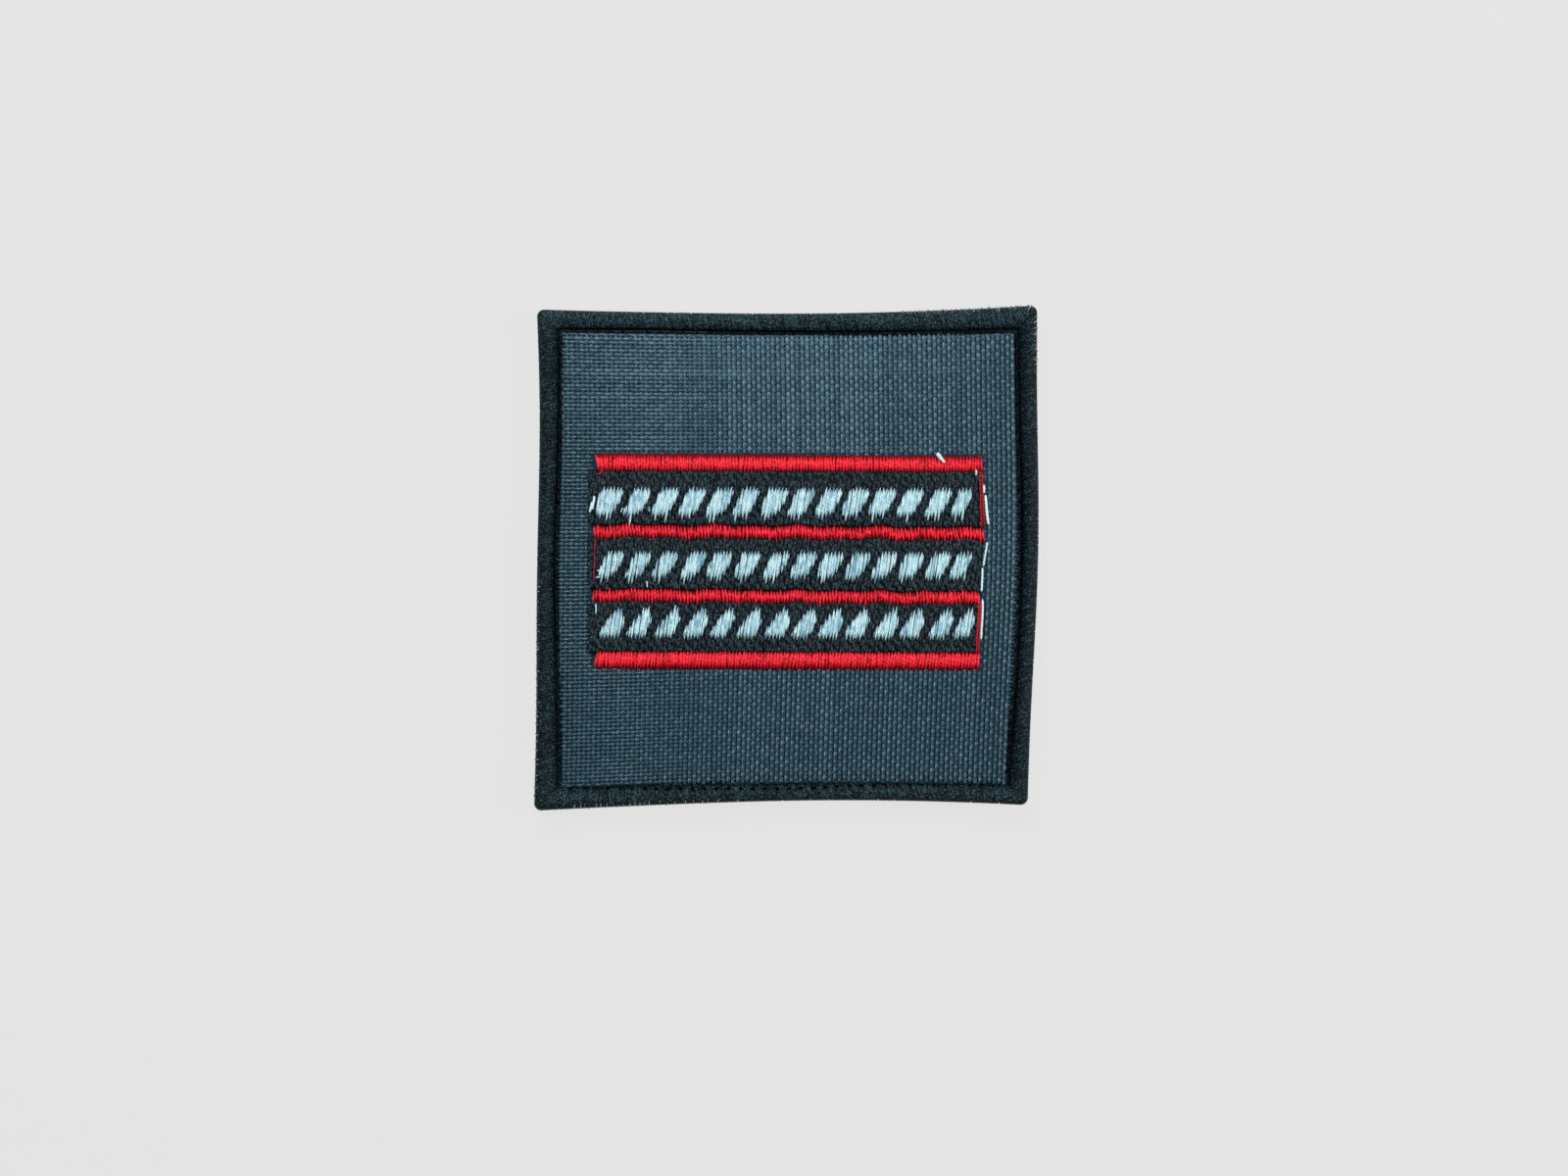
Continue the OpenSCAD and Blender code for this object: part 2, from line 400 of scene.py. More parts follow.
# the warp's painted highlight lies beside its crest, where the light from the right would catch
# it
warp_yarn = thread_finish("warp_yarn", crest=0.4, **CLOTH_YARN)
weft_yarn = thread_finish("weft_yarn", crest=0.5, **CLOTH_YARN)
BLACK_SATIN = {"grain": 5200.0, "shine": 0.22, "tint": TEAL}
black_thread = thread_finish(
    "black_thread", shade(0, 4, 8), shade(52, 67, 75), mark=0.2, streaks=1.2, drift=4.6,
    **BLACK_SATIN,
)
border_thread = thread_finish(
    "border_thread", shade(0, 8, 12), shade(52, 79, 87), mark=0.25, streaks=1.3, drift=6.0,
    **BLACK_SATIN,
)
red_thread = thread_finish(
    "red_thread", shade(166, 0, 14), shade(255, 36, 56), mark=0.25, streaks=2.8, drift=2.0,
    grain=1700.0, gloss=0.33, shine=0.8, tint=PINK, painted_glint=0.45,
)
blue_thread = thread_finish(
    "blue_thread", shade(112, 164, 188), shade(213, 247, 250), mark=0.2, streaks=2.6,
    drift=0.8, gloss=0.38, shine=0.27,
)
seam_thread = thread_finish(
    "seam_thread", shade(4, 7, 8), shade(50, 54, 52), mark=0.4, shine=0.15
)
tick_thread = thread_finish("tick_thread", shade(40, 56, 58), shade(168, 182, 178), mark=0.2)
hook_thread = thread_finish("hook_thread", shade(10, 12, 14), shade(34, 37, 40), mark=0.1)
print("thread finishes:", [made.name for made in bpy.data.materials])

# %% [markdown]
# ## Plain matt stuff
#
# Behind the yarns and stitches lies matter that the eye only catches in the gaps: the
# stiffening under the cloth, the padding under the satin, and the woven ground of the
# hook tape. Each is a matt solid with a fine woven or fibrous grain.

# %% The matt finish
# contrast of the grain's marks, and how dark they start
MATT_MARKS = 1.6, -0.3
# strength and depth in mm
MATT_BUMP = 0.7, 0.05
MATT_ROUGH = 0.9


def matt_finish(name, low, high, grain, shine=0.15):
    f = Finish(name)
    fine = f.noise(grain, GRAIN_DETAIL)
    f.feed(f.shader.inputs["Base Color"], f.blend(f.scaled(fine, *MATT_MARKS), low, high))
    f.raised(fine, *MATT_BUMP)
    f.shader.inputs["Roughness"].default_value = MATT_ROUGH
    f.shader.inputs["Specular IOR Level"].default_value = shine
    return f.material


cloth_back = matt_finish("cloth_back", shade(20, 46, 62), shade(40, 70, 86), 4000.0)
black_padding = matt_finish("black_padding", shade(6, 10, 12), shade(20, 28, 32), 5000.0, 0.08)
red_padding = matt_finish("red_padding", shade(70, 0, 9), shade(125, 4, 17), 5000.0)
# near-black and matt: painted shade inside the needle holes
hole_painted_shade = matt_finish("hole_painted_shade", shade(1, 3, 4), shade(8, 12, 14), 6000.0, 0.0)
tape_ground = matt_finish("tape_ground", shade(10, 12, 14), shade(28, 31, 34), 3000.0)
floor_paint = matt_finish("floor_paint", shade(60, 60, 60), shade(62, 62, 62), 300.0)
print("finishes in all:", len(bpy.data.materials))

# %% The floor's glow
# the floor is a dark grey that glows, so it is equally pale everywhere but near the patch
FLOOR_GLOW = 0.727
floor_inputs = floor_paint.node_tree.nodes["Principled BSDF"].inputs
floor_inputs["Emission Color"].default_value = WHITE
floor_inputs["Emission Strength"].default_value = FLOOR_GLOW

# %% [markdown]
# ## Meshes from arrays
#
# A patch like this has thousands of threads. One object for each would choke any scene,
# so all threads of a piece are computed at once as number arrays and joined in one mesh.
# Each thread is a tube: rings of corners along a line, flat where it is pressed.

# %% A mesh from points and faces
def mesh_piece(name, points, faces, finish, carried=None, unrolled=None):
    """faces is a list of index arrays, each of one size of face."""
    mesh = bpy.data.meshes.new(name)
    mesh.vertices.add(len(points))
    mesh.vertices.foreach_set("co", (points * MM).astype(np.float32).ravel())
    loops = np.concatenate([f.ravel() for f in faces]).astype(np.int32)
    sizes = np.concatenate([np.full(len(f), f.shape[1]) for f in faces])
    mesh.loops.add(len(loops))
    mesh.loops.foreach_set("vertex_index", loops)
    mesh.polygons.add(len(sizes))
    mesh.polygons.foreach_set("loop_start", (np.cumsum(sizes) - sizes).astype(np.int32))
    mesh.update(calc_edges=True)
    mesh.shade_smooth()
    for key, values in (carried or {}).items():
        mesh.attributes.new(key, "FLOAT", "POINT").data.foreach_set("value", values.ravel())
    if unrolled is not None:
        mesh.uv_layers.new(name="OFBake").data.foreach_set("uv", unrolled[loops].ravel())
    mesh.materials.append(finish)
    piece = bpy.data.objects.new(name, mesh)
    bpy.context.scene.collection.objects.link(piece)
    return piece


# %% Tubes round many lines at once
def unit(v):
    return v / np.linalg.norm(v, axis=-1, keepdims=True)


def rings(lines, side, wide, thick, corners):
    """A ring of corners round each step: wide across the thread and thick at right angles."""
    ahead = unit(np.gradient(lines, axis=1))
    out = unit(np.cross(ahead, side))
    across = np.cross(out, ahead)
    turn = (2 * np.arange(corners) / corners - 0.5) * np.pi
    return (
        lines[:, :, None]
        + across[:, :, None] * wide * np.cos(turn)[:, None]
        + out[:, :, None] * thick * np.sin(turn)[:, None]
    )


def tubes(lines, side, wide, thick, tone, corners, spread=None, light=0.0, painted_glint=1.0):
    """lines is (threads, steps, 3), side points across them, wide and thick are halves.
    spread, if given, is where each step lies on the flat map, light is how much lighter or
    darker each step is, at random and as painted light and shade, and glint how strong the
    painted highlight on its crest is."""
    threads, steps, _ = lines.shape
    shape = (threads, steps, corners)
    side = np.broadcast_to(side, lines.shape)
    wide, thick = (np.broadcast_to(a, shape[:2])[..., None, None] for a in (wide, thick))
    gone = np.linalg.norm(np.diff(lines, axis=1), axis=2).cumsum(1)
    gone = np.concatenate([np.zeros((threads, 1)), gone], axis=1)
    return {
        "points": rings(lines, side, wide, thick, corners).reshape(-1, 3),
        "shape": shape,
        "along": np.broadcast_to(gone[..., None], shape).ravel(),
        "around": np.broadcast_to(np.arange(corners) / corners, shape).ravel(),
        "tone": np.broadcast_to(tone[:, None, None], shape).ravel(),
        "light": np.repeat(np.broadcast_to(light, shape[:2]).ravel(), corners),
        "painted_glint": np.repeat(np.broadcast_to(painted_glint, shape[:2]).ravel(), corners),
        "spread": None if spread is None else spread_rings(spread, shape),
    }


def spread_rings(spread, shape):
    """The map place of every corner; those of one ring lie side by side."""
    u, v, width = spread
    over = (np.arange(shape[2]) / shape[2] - 0.5) * width
    u = np.broadcast_to(u[..., None], shape) + over
    return np.stack([u, np.broadcast_to(v[..., None], shape)], axis=-1).reshape(-1, 2)


# %% Faces of the tubes, those that look up last
def tube_faces(shape, first):
    threads, steps, corners = shape
    ids = first + np.arange(threads * steps * corners).reshape(shape)
    turned = np.roll(ids, -1, axis=2)
    sides = np.stack([ids[:, :-1], turned[:, :-1], turned[:, 1:], ids[:, 1:]], axis=-1)
    upness = np.sin((2 * (np.arange(corners) + 0.5) / corners - 0.5) * np.pi)
    sides = sides[:, :, np.argsort(upness)].transpose(2, 0, 1, 3)
    ends = np.concatenate([ids[:, 0, ::-1], ids[:, -1]])
    return ends, sides.reshape(-1, 4)


# %% One piece from groups of tubes
# the flat map keeps a small margin at both ends
MAP_EDGE, MAP_SPAN = 0.005, 0.99


def sewn(name, groups, finish):
    """Groups of tubes as one mesh piece, all with the same number of corners."""
    first, ends, sides = 0, [], []
    for group in groups:
        made = tube_faces(group["shape"], first)
        ends.append(made[0])
        sides.append(made[1])
        first += len(group["points"])
    points = np.concatenate([g["points"] for g in groups])
    carried = {
        key: np.concatenate([g[key] for g in groups]).astype(np.float32)
        for key in ("along", "around", "tone", "light", "painted_glint")
    }
    if groups[0]["spread"] is None:
        low, high = points[:, :2].min(0), points[:, :2].max(0)
        unrolled = MAP_EDGE + MAP_SPAN * (points[:, :2] - low) / (high - low)
    else:
        unrolled = np.concatenate([g["spread"] for g in groups])
    faces = [np.concatenate(ends), np.concatenate(sides)]
    piece = mesh_piece(name, points, faces, finish, carried, unrolled.astype(np.float32))
    triangles = 2 * len(faces[1]) + len(faces[0]) * (faces[0].shape[1] - 2)
    print(f"{name}: {sum(g['shape'][0] for g in groups)} threads, {triangles} triangles")
    return piece


# %% A solid from loops
def looped(name, loops, finish, closed=False):
    """Sides join each loop to the next. An open row of loops is capped at both ends."""
    count, size = len(loops), len(loops[0])
    ids = np.arange(count * size).reshape(count, size)
    if closed:
        ids = np.concatenate([ids, ids[:1]])
    ahead = np.roll(ids, -1, axis=1)
    sides = np.stack([ids[:-1], ahead[:-1], ahead[1:], ids[1:]], axis=-1).reshape(-1, 4)
    faces = [sides] if closed else [sides, np.stack([ids[0, ::-1], ids[-1]])]
    print(f"{name}: {count} loops of {size} points")
    return mesh_piece(name, np.concatenate(loops), faces, finish)


def sheet_loop(inset, z, radius):
    x, y = flat_loop(inset, max(radius, LEAST_R)).T
    return placed(x, y, z)


# %% [markdown]
# ## The hook tape
#
# Behind such a patch a hook tape is sewn on, so that it grips a field of loops on a
# garment. The photo hides it. A woven strip carries rows of small stiff hooks, and the
# patch lies on their tips, so its face sits a little above the table. The hooks are short
# bent tubes in staggered rows.

# %% The tape's woven ground
TAPE_FOOT = 0.85
TAPE_INSET = 1.6
TAPE_CORNER = 1.2
# how far in the corners' curl has ended, and the loops from there to the edge
FLAT_INSET = HALF - FLAT_X
CURL_LOOPS = 8

insets = np.linspace(FLAT_INSET, TAPE_INSET, CURL_LOOPS)
tape_rows = [(d, TAPE_FOOT) for d in insets] + [(d, HOOK_TOP) for d in insets[::-1]]
hook_tape = looped(
    "hook_tape",
    [sheet_loop(d, z, TAPE_CORNER + TAPE_INSET - d) for d, z in tape_rows],
    tape_ground,
)

# %% Its hooks
HOOK_PITCH = 1.5
HOOK_MARGIN = 2.6
# how far rows are set off, the least and most reach of a hook, and half its wire's sizes
HOOK_SHIFT = 0.35
HOOK_REACH = 0.42, 0.55
HOOK_WIRE = 0.08, 0.07
# share of the hook's reach sideways, height above the floor
HOOK_BEND = np.array([(0, 0.9), (0.05, 0.5), (0.3, 0.14), (0.7, 0.08), (1, 0.3), (0.95, 0.5)])

rng = np.random.default_rng(11)
rows = np.arange(-HALF + HOOK_MARGIN, HALF - HOOK_MARGIN, HOOK_PITCH)
grid_x, grid_y = (a.ravel() for a in np.meshgrid(rows, rows))
odd_row = np.round((grid_y + HALF) / HOOK_PITCH) % 2 > 0.5
foot = placed(grid_x + np.where(odd_row, HOOK_SHIFT, -HOOK_SHIFT), grid_y, 0.0)
reach = rng.choice([-1.0, 1.0], len(foot)) * rng.uniform(*HOOK_REACH, len(foot))
hook_lines = np.repeat(foot[:, None], len(HOOK_BEND), axis=1)
hook_lines[..., 1] += reach[:, None] * HOOK_BEND[:, 0]
hook_lines[..., 2] += HOOK_BEND[:, 1]
tone = rng.uniform(-1, 1, len(foot))
hooks = sewn("hooks", [tubes(hook_lines, (1.0, 0, 0), *HOOK_WIRE, tone, 4)], hook_thread)

# %% [markdown]
# ## The stitched block: its edges
#
# The red stripes and black bands share their edges, as on the solids: straight for the
# outer stripes, and wandering a little for the two in the middle.

# %% The tables of stripes, bands and rows
# left end, right end, top at the left and right, foot at the left and right, wander
STRIPES = [
    (-19.6, 20, 10.57, 10.29, 8.88, 8.74, 0),
    (-19.7, 20.2, 3.48, 3.13, 2.08, 1.8, 0.09),
    (-19.8, 19.7, -3.15, -3.43, -4.42, -4.77, 0.07),
    (-19.5, 19.7, -9.54, -9.68, -11.15, -11.3, 0),
]
BANDS = [(-20, 20), (-19.95, 19.95), (-20, 19.7)]


# the two waves that the middle stripes' edges follow, by their length in mm
SHORT_WAVE, LONG_WAVE = 4.3, 7.9


def wander(x):
    short = np.sin(2 * np.pi * x / SHORT_WAVE)
    return short + 0.7 * np.sin(2 * np.pi * x / LONG_WAVE + math.radians(40))


def edge_y(stripe, column, x):
    row = STRIPES[stripe]
    share = (x - row[0]) / (row[1] - row[0])
    return mix(row[column], row[column + 1], share) + row[6] * wander(x) - MIDDLE[1]


def top_y(stripe, x):
    return edge_y(stripe, 2, x)


def foot_y(stripe, x):
    return edge_y(stripe, 4, x)


# %% [markdown]
# ## The rim and the seam on plan
#
# The rim is not equally wide all round: it swells towards some corners. A dark furrow
# marks its inner edge, deep and with painted shade in it. A seam runs in or beside that
# furrow and holds the hook tape on behind, and each of its needle holes is a small pit
# with a dark patch of painted shade in it. All this is worked out before any thread is
# laid, because yarns and stitches have to be pressed down there.

# %% How wide the rim is
# depth of the furrow from the edge at five places along a side, in the order of SIDES
FURROW = [
    (2.25, 2.0, 1.77, 1.8, 1.9),
    (2.05, 1.63, 1.64, 1.8, 1.87),
    (2.33, 2.07, 1.87, 1.78, 1.92),
    (2.15, 1.9, 1.7, 2.06, 2.42),
]
FURROW_D = 1.84
# how wide the low lip inside the furrow is; the foot of the patch has next to none
LIP = (0.06, 0.34, 0.34, 0.34)
# the lip's width on the path of a border stitch, which is squeezed to the side's own
FULL_LIP = 0.36
FIVE = np.linspace(0, PATCH, 5)


def furrow(side, place):
    return np.interp(place, FIVE, FURROW[side])


def out_to(side, along, out):
    """A point of the true square that is so far along a side, and out to it."""
    return [(along, -out), (out, along), (-along, out), (-out, -along)][side]


def past_lip(x, y):
    """How far a point of the true square lies inside the lip of the nearest side."""
    left, right, foot, head = x + HALF, HALF - x, y + HALF, HALF - y
    spots = [(left, foot), (foot, right), (right, head), (head, left)]
    past = [depth - furrow(k, place) - LIP[k] for k, (place, depth) in enumerate(spots)]
    return np.min(past, axis=0)


# %% The seam's needle holes
SEAM_PITCH = 1.25
# how far in from the furrow the seam runs: along the foot it runs on the rim itself
SEAM_PAST = [(0.05, -0.3, -0.45, -0.13, -0.02)] + [(0.22, 0.22, 0.22, 0.22, 0.22)] * 3


def on_seam(side, place, z):
    """A point of the seam: place runs along the side, from corner to corner."""
    out = HALF - furrow(side, place) - np.interp(place, FIVE, SEAM_PAST[side])
    return placed(*out_to(side, place - HALF, out), z)


def seam_places(side):
    """Needle places along one side, from one corner of the seam to the next."""
    first = FURROW[side - 1][-1] + SEAM_PAST[side - 1][-1]
    last = PATCH - FURROW[(side + 1) % 4][0] - SEAM_PAST[(side + 1) % 4][0]
    return np.linspace(first, last, round((last - first) / SEAM_PITCH) + 1)


HOLES = np.concatenate([on_seam(k, seam_places(k)[:-1], CLOTH_TOP)[:, :2] for k in range(4)])
print("needle holes of the seam:", len(HOLES))


# %% Pits round the holes
PIT_R = 0.26


def pit(points):
    """1 at a needle hole, falling to 0 around it."""
    flat = points.reshape(-1, 3)
    found = np.zeros(len(flat))
    for hole in HOLES:
        off = ((flat[:, :2] - hole) ** 2).sum(1)
        found = np.maximum(found, np.exp(-off / PIT_R**2))
    return found.reshape(points.shape[:-1])


# %% [markdown]
# ## The woven cloth
#
# The ground is a plain weave of shiny flat yarns: each goes over one and under the next.
# Warp yarns run up the page half a millimetre apart, and weft yarns run across it a
# little closer. At the left the weft stands proud, and at the right the warp stands out.
# Their shine is a painted highlight on the crests of the proud floats: short level dashes
# at the left, with a thin painted bright line on the warp between them, whose floats are
# painted dark there. A texture could fake the weave from above, but woven tubes keep their
# dark gaps from any side. Under the stitching nothing shows, so the yarns stop there.

# %% The body under the yarns
EDGE = 0.54
STEP = 2.04
RIM_FOOT = 1.68
# depth in from the edge and height of the face, from the raw edge to where the yarns begin
FACE_RISE = [(EDGE, 1.94), (2.35, 1.94), (2.75, 2.15), (2.95, 2.35)]
YARN_INSET = 3.15
YARN_FOOT = 2.44

outward = np.linspace(FLAT_INSET, STEP, CURL_LOOPS)
inward = np.linspace(YARN_INSET, FLAT_INSET, CURL_LOOPS)
cloth_rows = [(d, CLOTH_FOOT) for d in outward] + [(STEP, RIM_FOOT), (EDGE, RIM_FOOT)]
cloth_rows += FACE_RISE + [(d, YARN_FOOT) for d in inward]
cloth_base = looped(
    "cloth_base", [sheet_loop(d, z, CORNER_R - d) for d, z in cloth_rows], cloth_back
)

# %% Where the yarns run
WARP_PITCH = 0.5
WEFT_PITCH = 0.405
YARN_END = HALF - 1.75
# left and right, foot and head of the cloth that is left out under the stitching
BLOCK_X, BLOCK_Y = (-19.3, 19.3), (-10.6, 9.9)
# where the warp begins to stand out: its place at the foot, how that leans to the right on
# the way up, and over how many mm the warp rises to its full height
SWING_X, SWING_LEAN, SWING_SPAN = -14.5, 0.1, 8
# how deep the cloth is pressed at the rim and at the block, and how far that reaches
RIM_PRESS = 0.45, 0.13
BLOCK_PRESS = 0.26, 0.16


def warp_share(x, y):
    """Which yarns stand out: below 0 where the weft does, and over 0 where the warp does."""
    head = ramp(y, 0, 12)
    least = mix(-0.5, -0.1, ramp(np.abs(y), 9, 15))
    swing = np.clip((x - SWING_X - SWING_LEAN * (y + 10)) / SWING_SPAN, least, 1)
    lower_right = ramp(x - y, 0, 30)
    return np.where(swing > 0, swing * (1.1 + 0.5 * lower_right + 0.2 * head), swing)


def pressed(x, y):
    """How far the cloth is pressed down at a point of the true square."""
    rim = np.exp(-((np.clip(past_lip(x, y), 0, None) / RIM_PRESS[1]) ** 2))
    on_x, on_y, _ = np.moveaxis(placed(x, y, 0.0 * x), -1, 0)
    beside_band = (on_y < foot_y(0, on_x) + 0.2) & (on_y > top_y(3, on_x) - 0.2)
    left, right = (
        np.where(beside_band, BANDS[0][k], STRIPES[0][k] - MIDDLE[0]) for k in (0, 1)
    )
    off_x = np.maximum(left - on_x, on_x - right)
    off_y = np.maximum(on_y - top_y(0, on_x), foot_y(3, on_x) - on_y)
    off = np.clip(np.maximum(off_x, off_y) - 0.06, 0, None)
    return RIM_PRESS[0] * rim + BLOCK_PRESS[0] * np.exp(-((off / BLOCK_PRESS[1]) ** 2))


def painted_cloth_light(x, y):
    """Painted light and shade: the cloth is a little lighter to its top edge and darker towards
    both sides.
    """
    beside_left = np.exp(-(((x + HALF) / 7) ** 2)) * ramp(y, 14, 10)
    beside_right = np.exp(-(((x - HALF) / 7) ** 2) - (y / 12) ** 2)
    sides = 0.18 * (x / HALF) ** 2 + 0.26 * beside_left - 0.12 * beside_right
    upper_middle = np.exp(-((x / 9) ** 2)) * ramp(y, 6, 12)
    return 0.1 + 0.2 * y / HALF - sides + 0.04 * upper_middle


def at_left(x):
    """0 up to 5 mm left of the middle, and 1 from 12 mm left of it."""
    return ramp(x, -5, -12)


# %% Over and under
def as_xy(across, along, is_warp):
    """Warp yarns run along y, and weft yarns along x."""
    return (across, along) if is_warp else (along, across)


def woven(places, crossings, pitch, is_warp):
    """Middle of each float, and over: 1 where the yarn goes over the other, and -1 under."""
    across, middle = np.meshgrid(places, crossings, indexing="ij")
    number = np.round((across + HALF) / (WARP_PITCH if is_warp else WEFT_PITCH))
    number += np.round((middle + HALF) / pitch)
    over = np.where(number % 2 < 0.5, 1, -1) * (1 if is_warp else -1)
    return across, middle, over


# %% How a yarn shines
def yarn_painted_glint(x, y, over, stands, is_warp, rng):
    """The painted highlight on each float's crest: strongest on proud yarns, and a little
    weaker near the top edge.
    """
    # at the left the warp isn't proud, but keeps a thin painted highlight line
    least = 1.25 * at_left(x) if is_warp else 0
    painted_glint = np.maximum(np.clip(0.5 + 1.2 * stands, 0, 1), least)
    painted_glint = painted_glint * rng.uniform(0.6, 1.15, over.shape)
    return painted_glint * (over > 0) * mix(1, 0.75, ramp(y, 0, 12))


def yarn_light(x, y, over, stands, is_warp, rng):
    """How light a yarn is where it goes over, and where it goes under: random tone, and painted
    light and shade by how proud it is, over the whole cloth, and where it is pressed down.
    """
    left = at_left(x)
    # painted shade: at the left the warp's floats are dark, and less proud floats are darker,
    # so the weft's dashes stand apart like bricks
    own = -0.2 if is_warp else 0.02
    on_top = -0.56 + np.where(stands < 0, 0.1, 0.03) * stands + own * left
    # painted shadow and light: a proud warp yarn shades the weft on its left, and the weft is
    # lighter on its right
    ends = np.tile((-1, 1), over.shape[1] // 2)
    left_right = ends * (0 if is_warp else 0.2) * (stands < 0)
    light = np.where(over > 0, on_top, -0.46 + left_right + 0.16 * left)
    light += painted_cloth_light(x, y)
    # painted shade: yarns are darker where the cloth is pressed down at the rim and round the
    # block
    return light + rng.normal(0, 0.06, over.shape) - 0.7 * np.minimum(pressed(x, y) / 0.3, 1)


# %% Yarns of one kind
# half a float of the warp and the weft, as a share of the pitch of the yarns it crosses
WARP_FLOAT, WEFT_FLOAT = 0.36, 0.29
YARN_MIDDLE = 2.515
WAVE = 0.1
YARN_THICK = 0.095
# how much higher a proud yarn lies
PROUD = 0.045
# how far a whole yarn strays sideways, and each float sideways and in height
YARN_STRAY, FLOAT_STRAY, FLOAT_RISE = 0.01, 0.008, 0.006
# width of a yarn where it goes under, against where it goes over
UNDER_WIDE = 0.85


def yarn_group(places, crossings, pitch, is_warp, rng):
    """places are the yarns' own places; crossings are where the other yarns cross them.
    Each float is level between two points that lie a share of the pitch off its middle."""
    across, middle, over = woven(places, crossings, pitch, is_warp)
    x, y = as_xy(across, middle, is_warp)
    stands = warp_share(x, y) * (1 if is_warp else -1)
    reach = pitch * ((WARP_FLOAT if is_warp else WEFT_FLOAT) + 0.06 * stands * over)
    shape = (len(places), 2 * len(crossings))
    along = np.stack([middle - reach, middle + reach], axis=-1).reshape(shape)
    painted_glint = yarn_painted_glint(x, y, over, stands, is_warp, rng)
    over, stands, painted_glint = (np.repeat(a, 2, axis=1) for a in (over, stands, painted_glint))
    across = np.repeat(across, 2, axis=1) + rng.normal(0, YARN_STRAY, (len(places), 1))
    across = across + rng.normal(0, FLOAT_STRAY, shape)
    x, y = as_xy(across, along, is_warp)
    z = YARN_MIDDLE + WAVE * over + PROUD * stands + rng.normal(0, FLOAT_RISE, shape)
    full = 0.195 + 0.005 * stands if is_warp else 0.198 + 0.005 * stands - 0.016 * at_left(x)
    wide = full * np.where(over > 0, 1.0, UNDER_WIDE)
    lines = placed(x, y, z - pressed(x, y))
    lines[..., 2] -= 0.25 * pit(lines)
    light = yarn_light(x, y, over, stands, is_warp, rng)
    tone = rng.uniform(-0.35, 0.35, len(places))
    side = (-1.0, 0, 0) if is_warp else (0, 1.0, 0)
    return tubes(lines, side, wide, YARN_THICK, tone, 6, light=light, painted_glint=painted_glint)


def yarns(name, pitch, cross_pitch, is_warp, seed):
    rng = np.random.default_rng(seed)
    (low, high), (end_low, end_high) = as_xy(BLOCK_X, BLOCK_Y, is_warp)
    count, crossed = int(YARN_END / pitch), int(YARN_END / cross_pitch)
    places = np.arange(-count, count + 1) * pitch
    crossings = np.arange(-crossed, crossed + 1) * cross_pitch
    clear = (places < low) | (places > high)
    groups = [yarn_group(places[clear], crossings, cross_pitch, is_warp, rng)]
    for part in (crossings < end_low, crossings > end_high):
        groups.append(yarn_group(places[~clear], crossings[part], cross_pitch, is_warp, rng))
    return sewn(name, groups, warp_yarn if is_warp else weft_yarn)


warp_yarns = yarns("warp_yarns", WARP_PITCH, WEFT_PITCH, True, 21)
weft_yarns = yarns("weft_yarns", WEFT_PITCH, WARP_PITCH, False, 22)

# %% [markdown]
# ## The border
#
# The rim is a thick cord of satin stitches: thread goes from a needle line on the face,
# over a padded crown, round the raw edge and back under. At the corners the stitches fan
# out and meet on the diagonal. Here each stitch is one tube that follows that path over
# a padding, and its place along the side decides how much it fans. The depths are those
# of a rim with its furrow 1.84 mm in, and are stretched to the rim's real width.

# %% Where a border stitch lies
FAN = 4.0
FADE = 8.0


def from_corner(near, depth):
    """Distance from the inset loop's own corner, for stitches that fan out there."""
    power = FAN / (FAN - BORDER_W)
    fanned = (FAN - BORDER_W) * (np.clip(near, 0, FAN) / FAN) ** power
    inner = np.where(near < FAN, fanned, near - BORDER_W)
    return mix(near, inner, depth / BORDER_W)


def on_side(side, place, depth, z):
    """A point of the border: place runs along the side, and depth in from its edge."""
    place = np.clip(place, 0.0, PATCH)
    near = np.minimum(place, PATCH - place)
    own = from_corner(near, depth)
    radius = np.maximum(CORNER_R - depth, LEAST_R)
    turn = np.pi / 4 * (1 - ramp(own, 0, radius))
    along = np.where(own < radius, radius * (1 - np.sin(turn)), own)
    inset = depth * furrow(side, place) / FURROW_D + radius * (1 - np.cos(turn))
    first = place < HALF
    share = np.where(first, FURROW[side - 1][-1], FURROW[(side + 1) % 4][0]) / FURROW_D
    along = along + depth * (1 - (1 - share) * ramp(near, FADE, 0))
    along = np.where(first, along, PATCH - along) - HALF
    return placed(*out_to(side, along, HALF - inset), z)


# %% The padding
# depth in from the edge and height, once round the cord
PADDING = [
    (2.1, 2.2), (2.06, 2.24), (1.8, 2.24), (1.64, 2.56), (1.48, 2.76), (1.05, 3.0),
    (0.78, 3.02), (0.45, 2.92), (0.24, 2.74), (0.17, 2.5), (0.16, 2.2), (0.22, 1.68),
    (0.42, 1.48), (1.75, 1.48), (1.75, 1.6), (0.56, 1.6), (0.5, 2.2),
]
around = [(k, place) for k in range(4) for place in np.linspace(0, PATCH, 61)[:-1]]
border_padding = looped(
    "border_padding",
    [np.array([on_side(k, place, depth, z) for k, place in around]) for depth, z in PADDING],
    black_padding,
    closed=True,
)

# %% The path of a border stitch
# depth in from the edge and height, from the needle line over the crown to the back
OVER = np.array(
    [
        (2.2, 2.2), (2.12, 2.36), (2.02, 2.4), (1.92, 2.28), (1.84, 2.28), (1.75, 2.56),
        (1.6, 2.83), (1.38, 2.98), (1.1, 3.09), (0.78, 3.13), (0.45, 3.03), (0.2, 2.84),
        (0.08, 2.58), (0.06, 2.2), (0.1, 1.72), (0.35, 1.42), (1.7, 1.39),
    ]
)
ON_FACE = OVER[:, 1] > 2.0
STITCH_PITCH = 0.24
# half widths along a stitch, and half its thickness
STITCH_WIDE = np.where(OVER[:, 0] < 0.5, 0.17, 0.135)
STITCH_WIDE[:2] = 0.07, 0.11
STITCH_THICK = 0.08
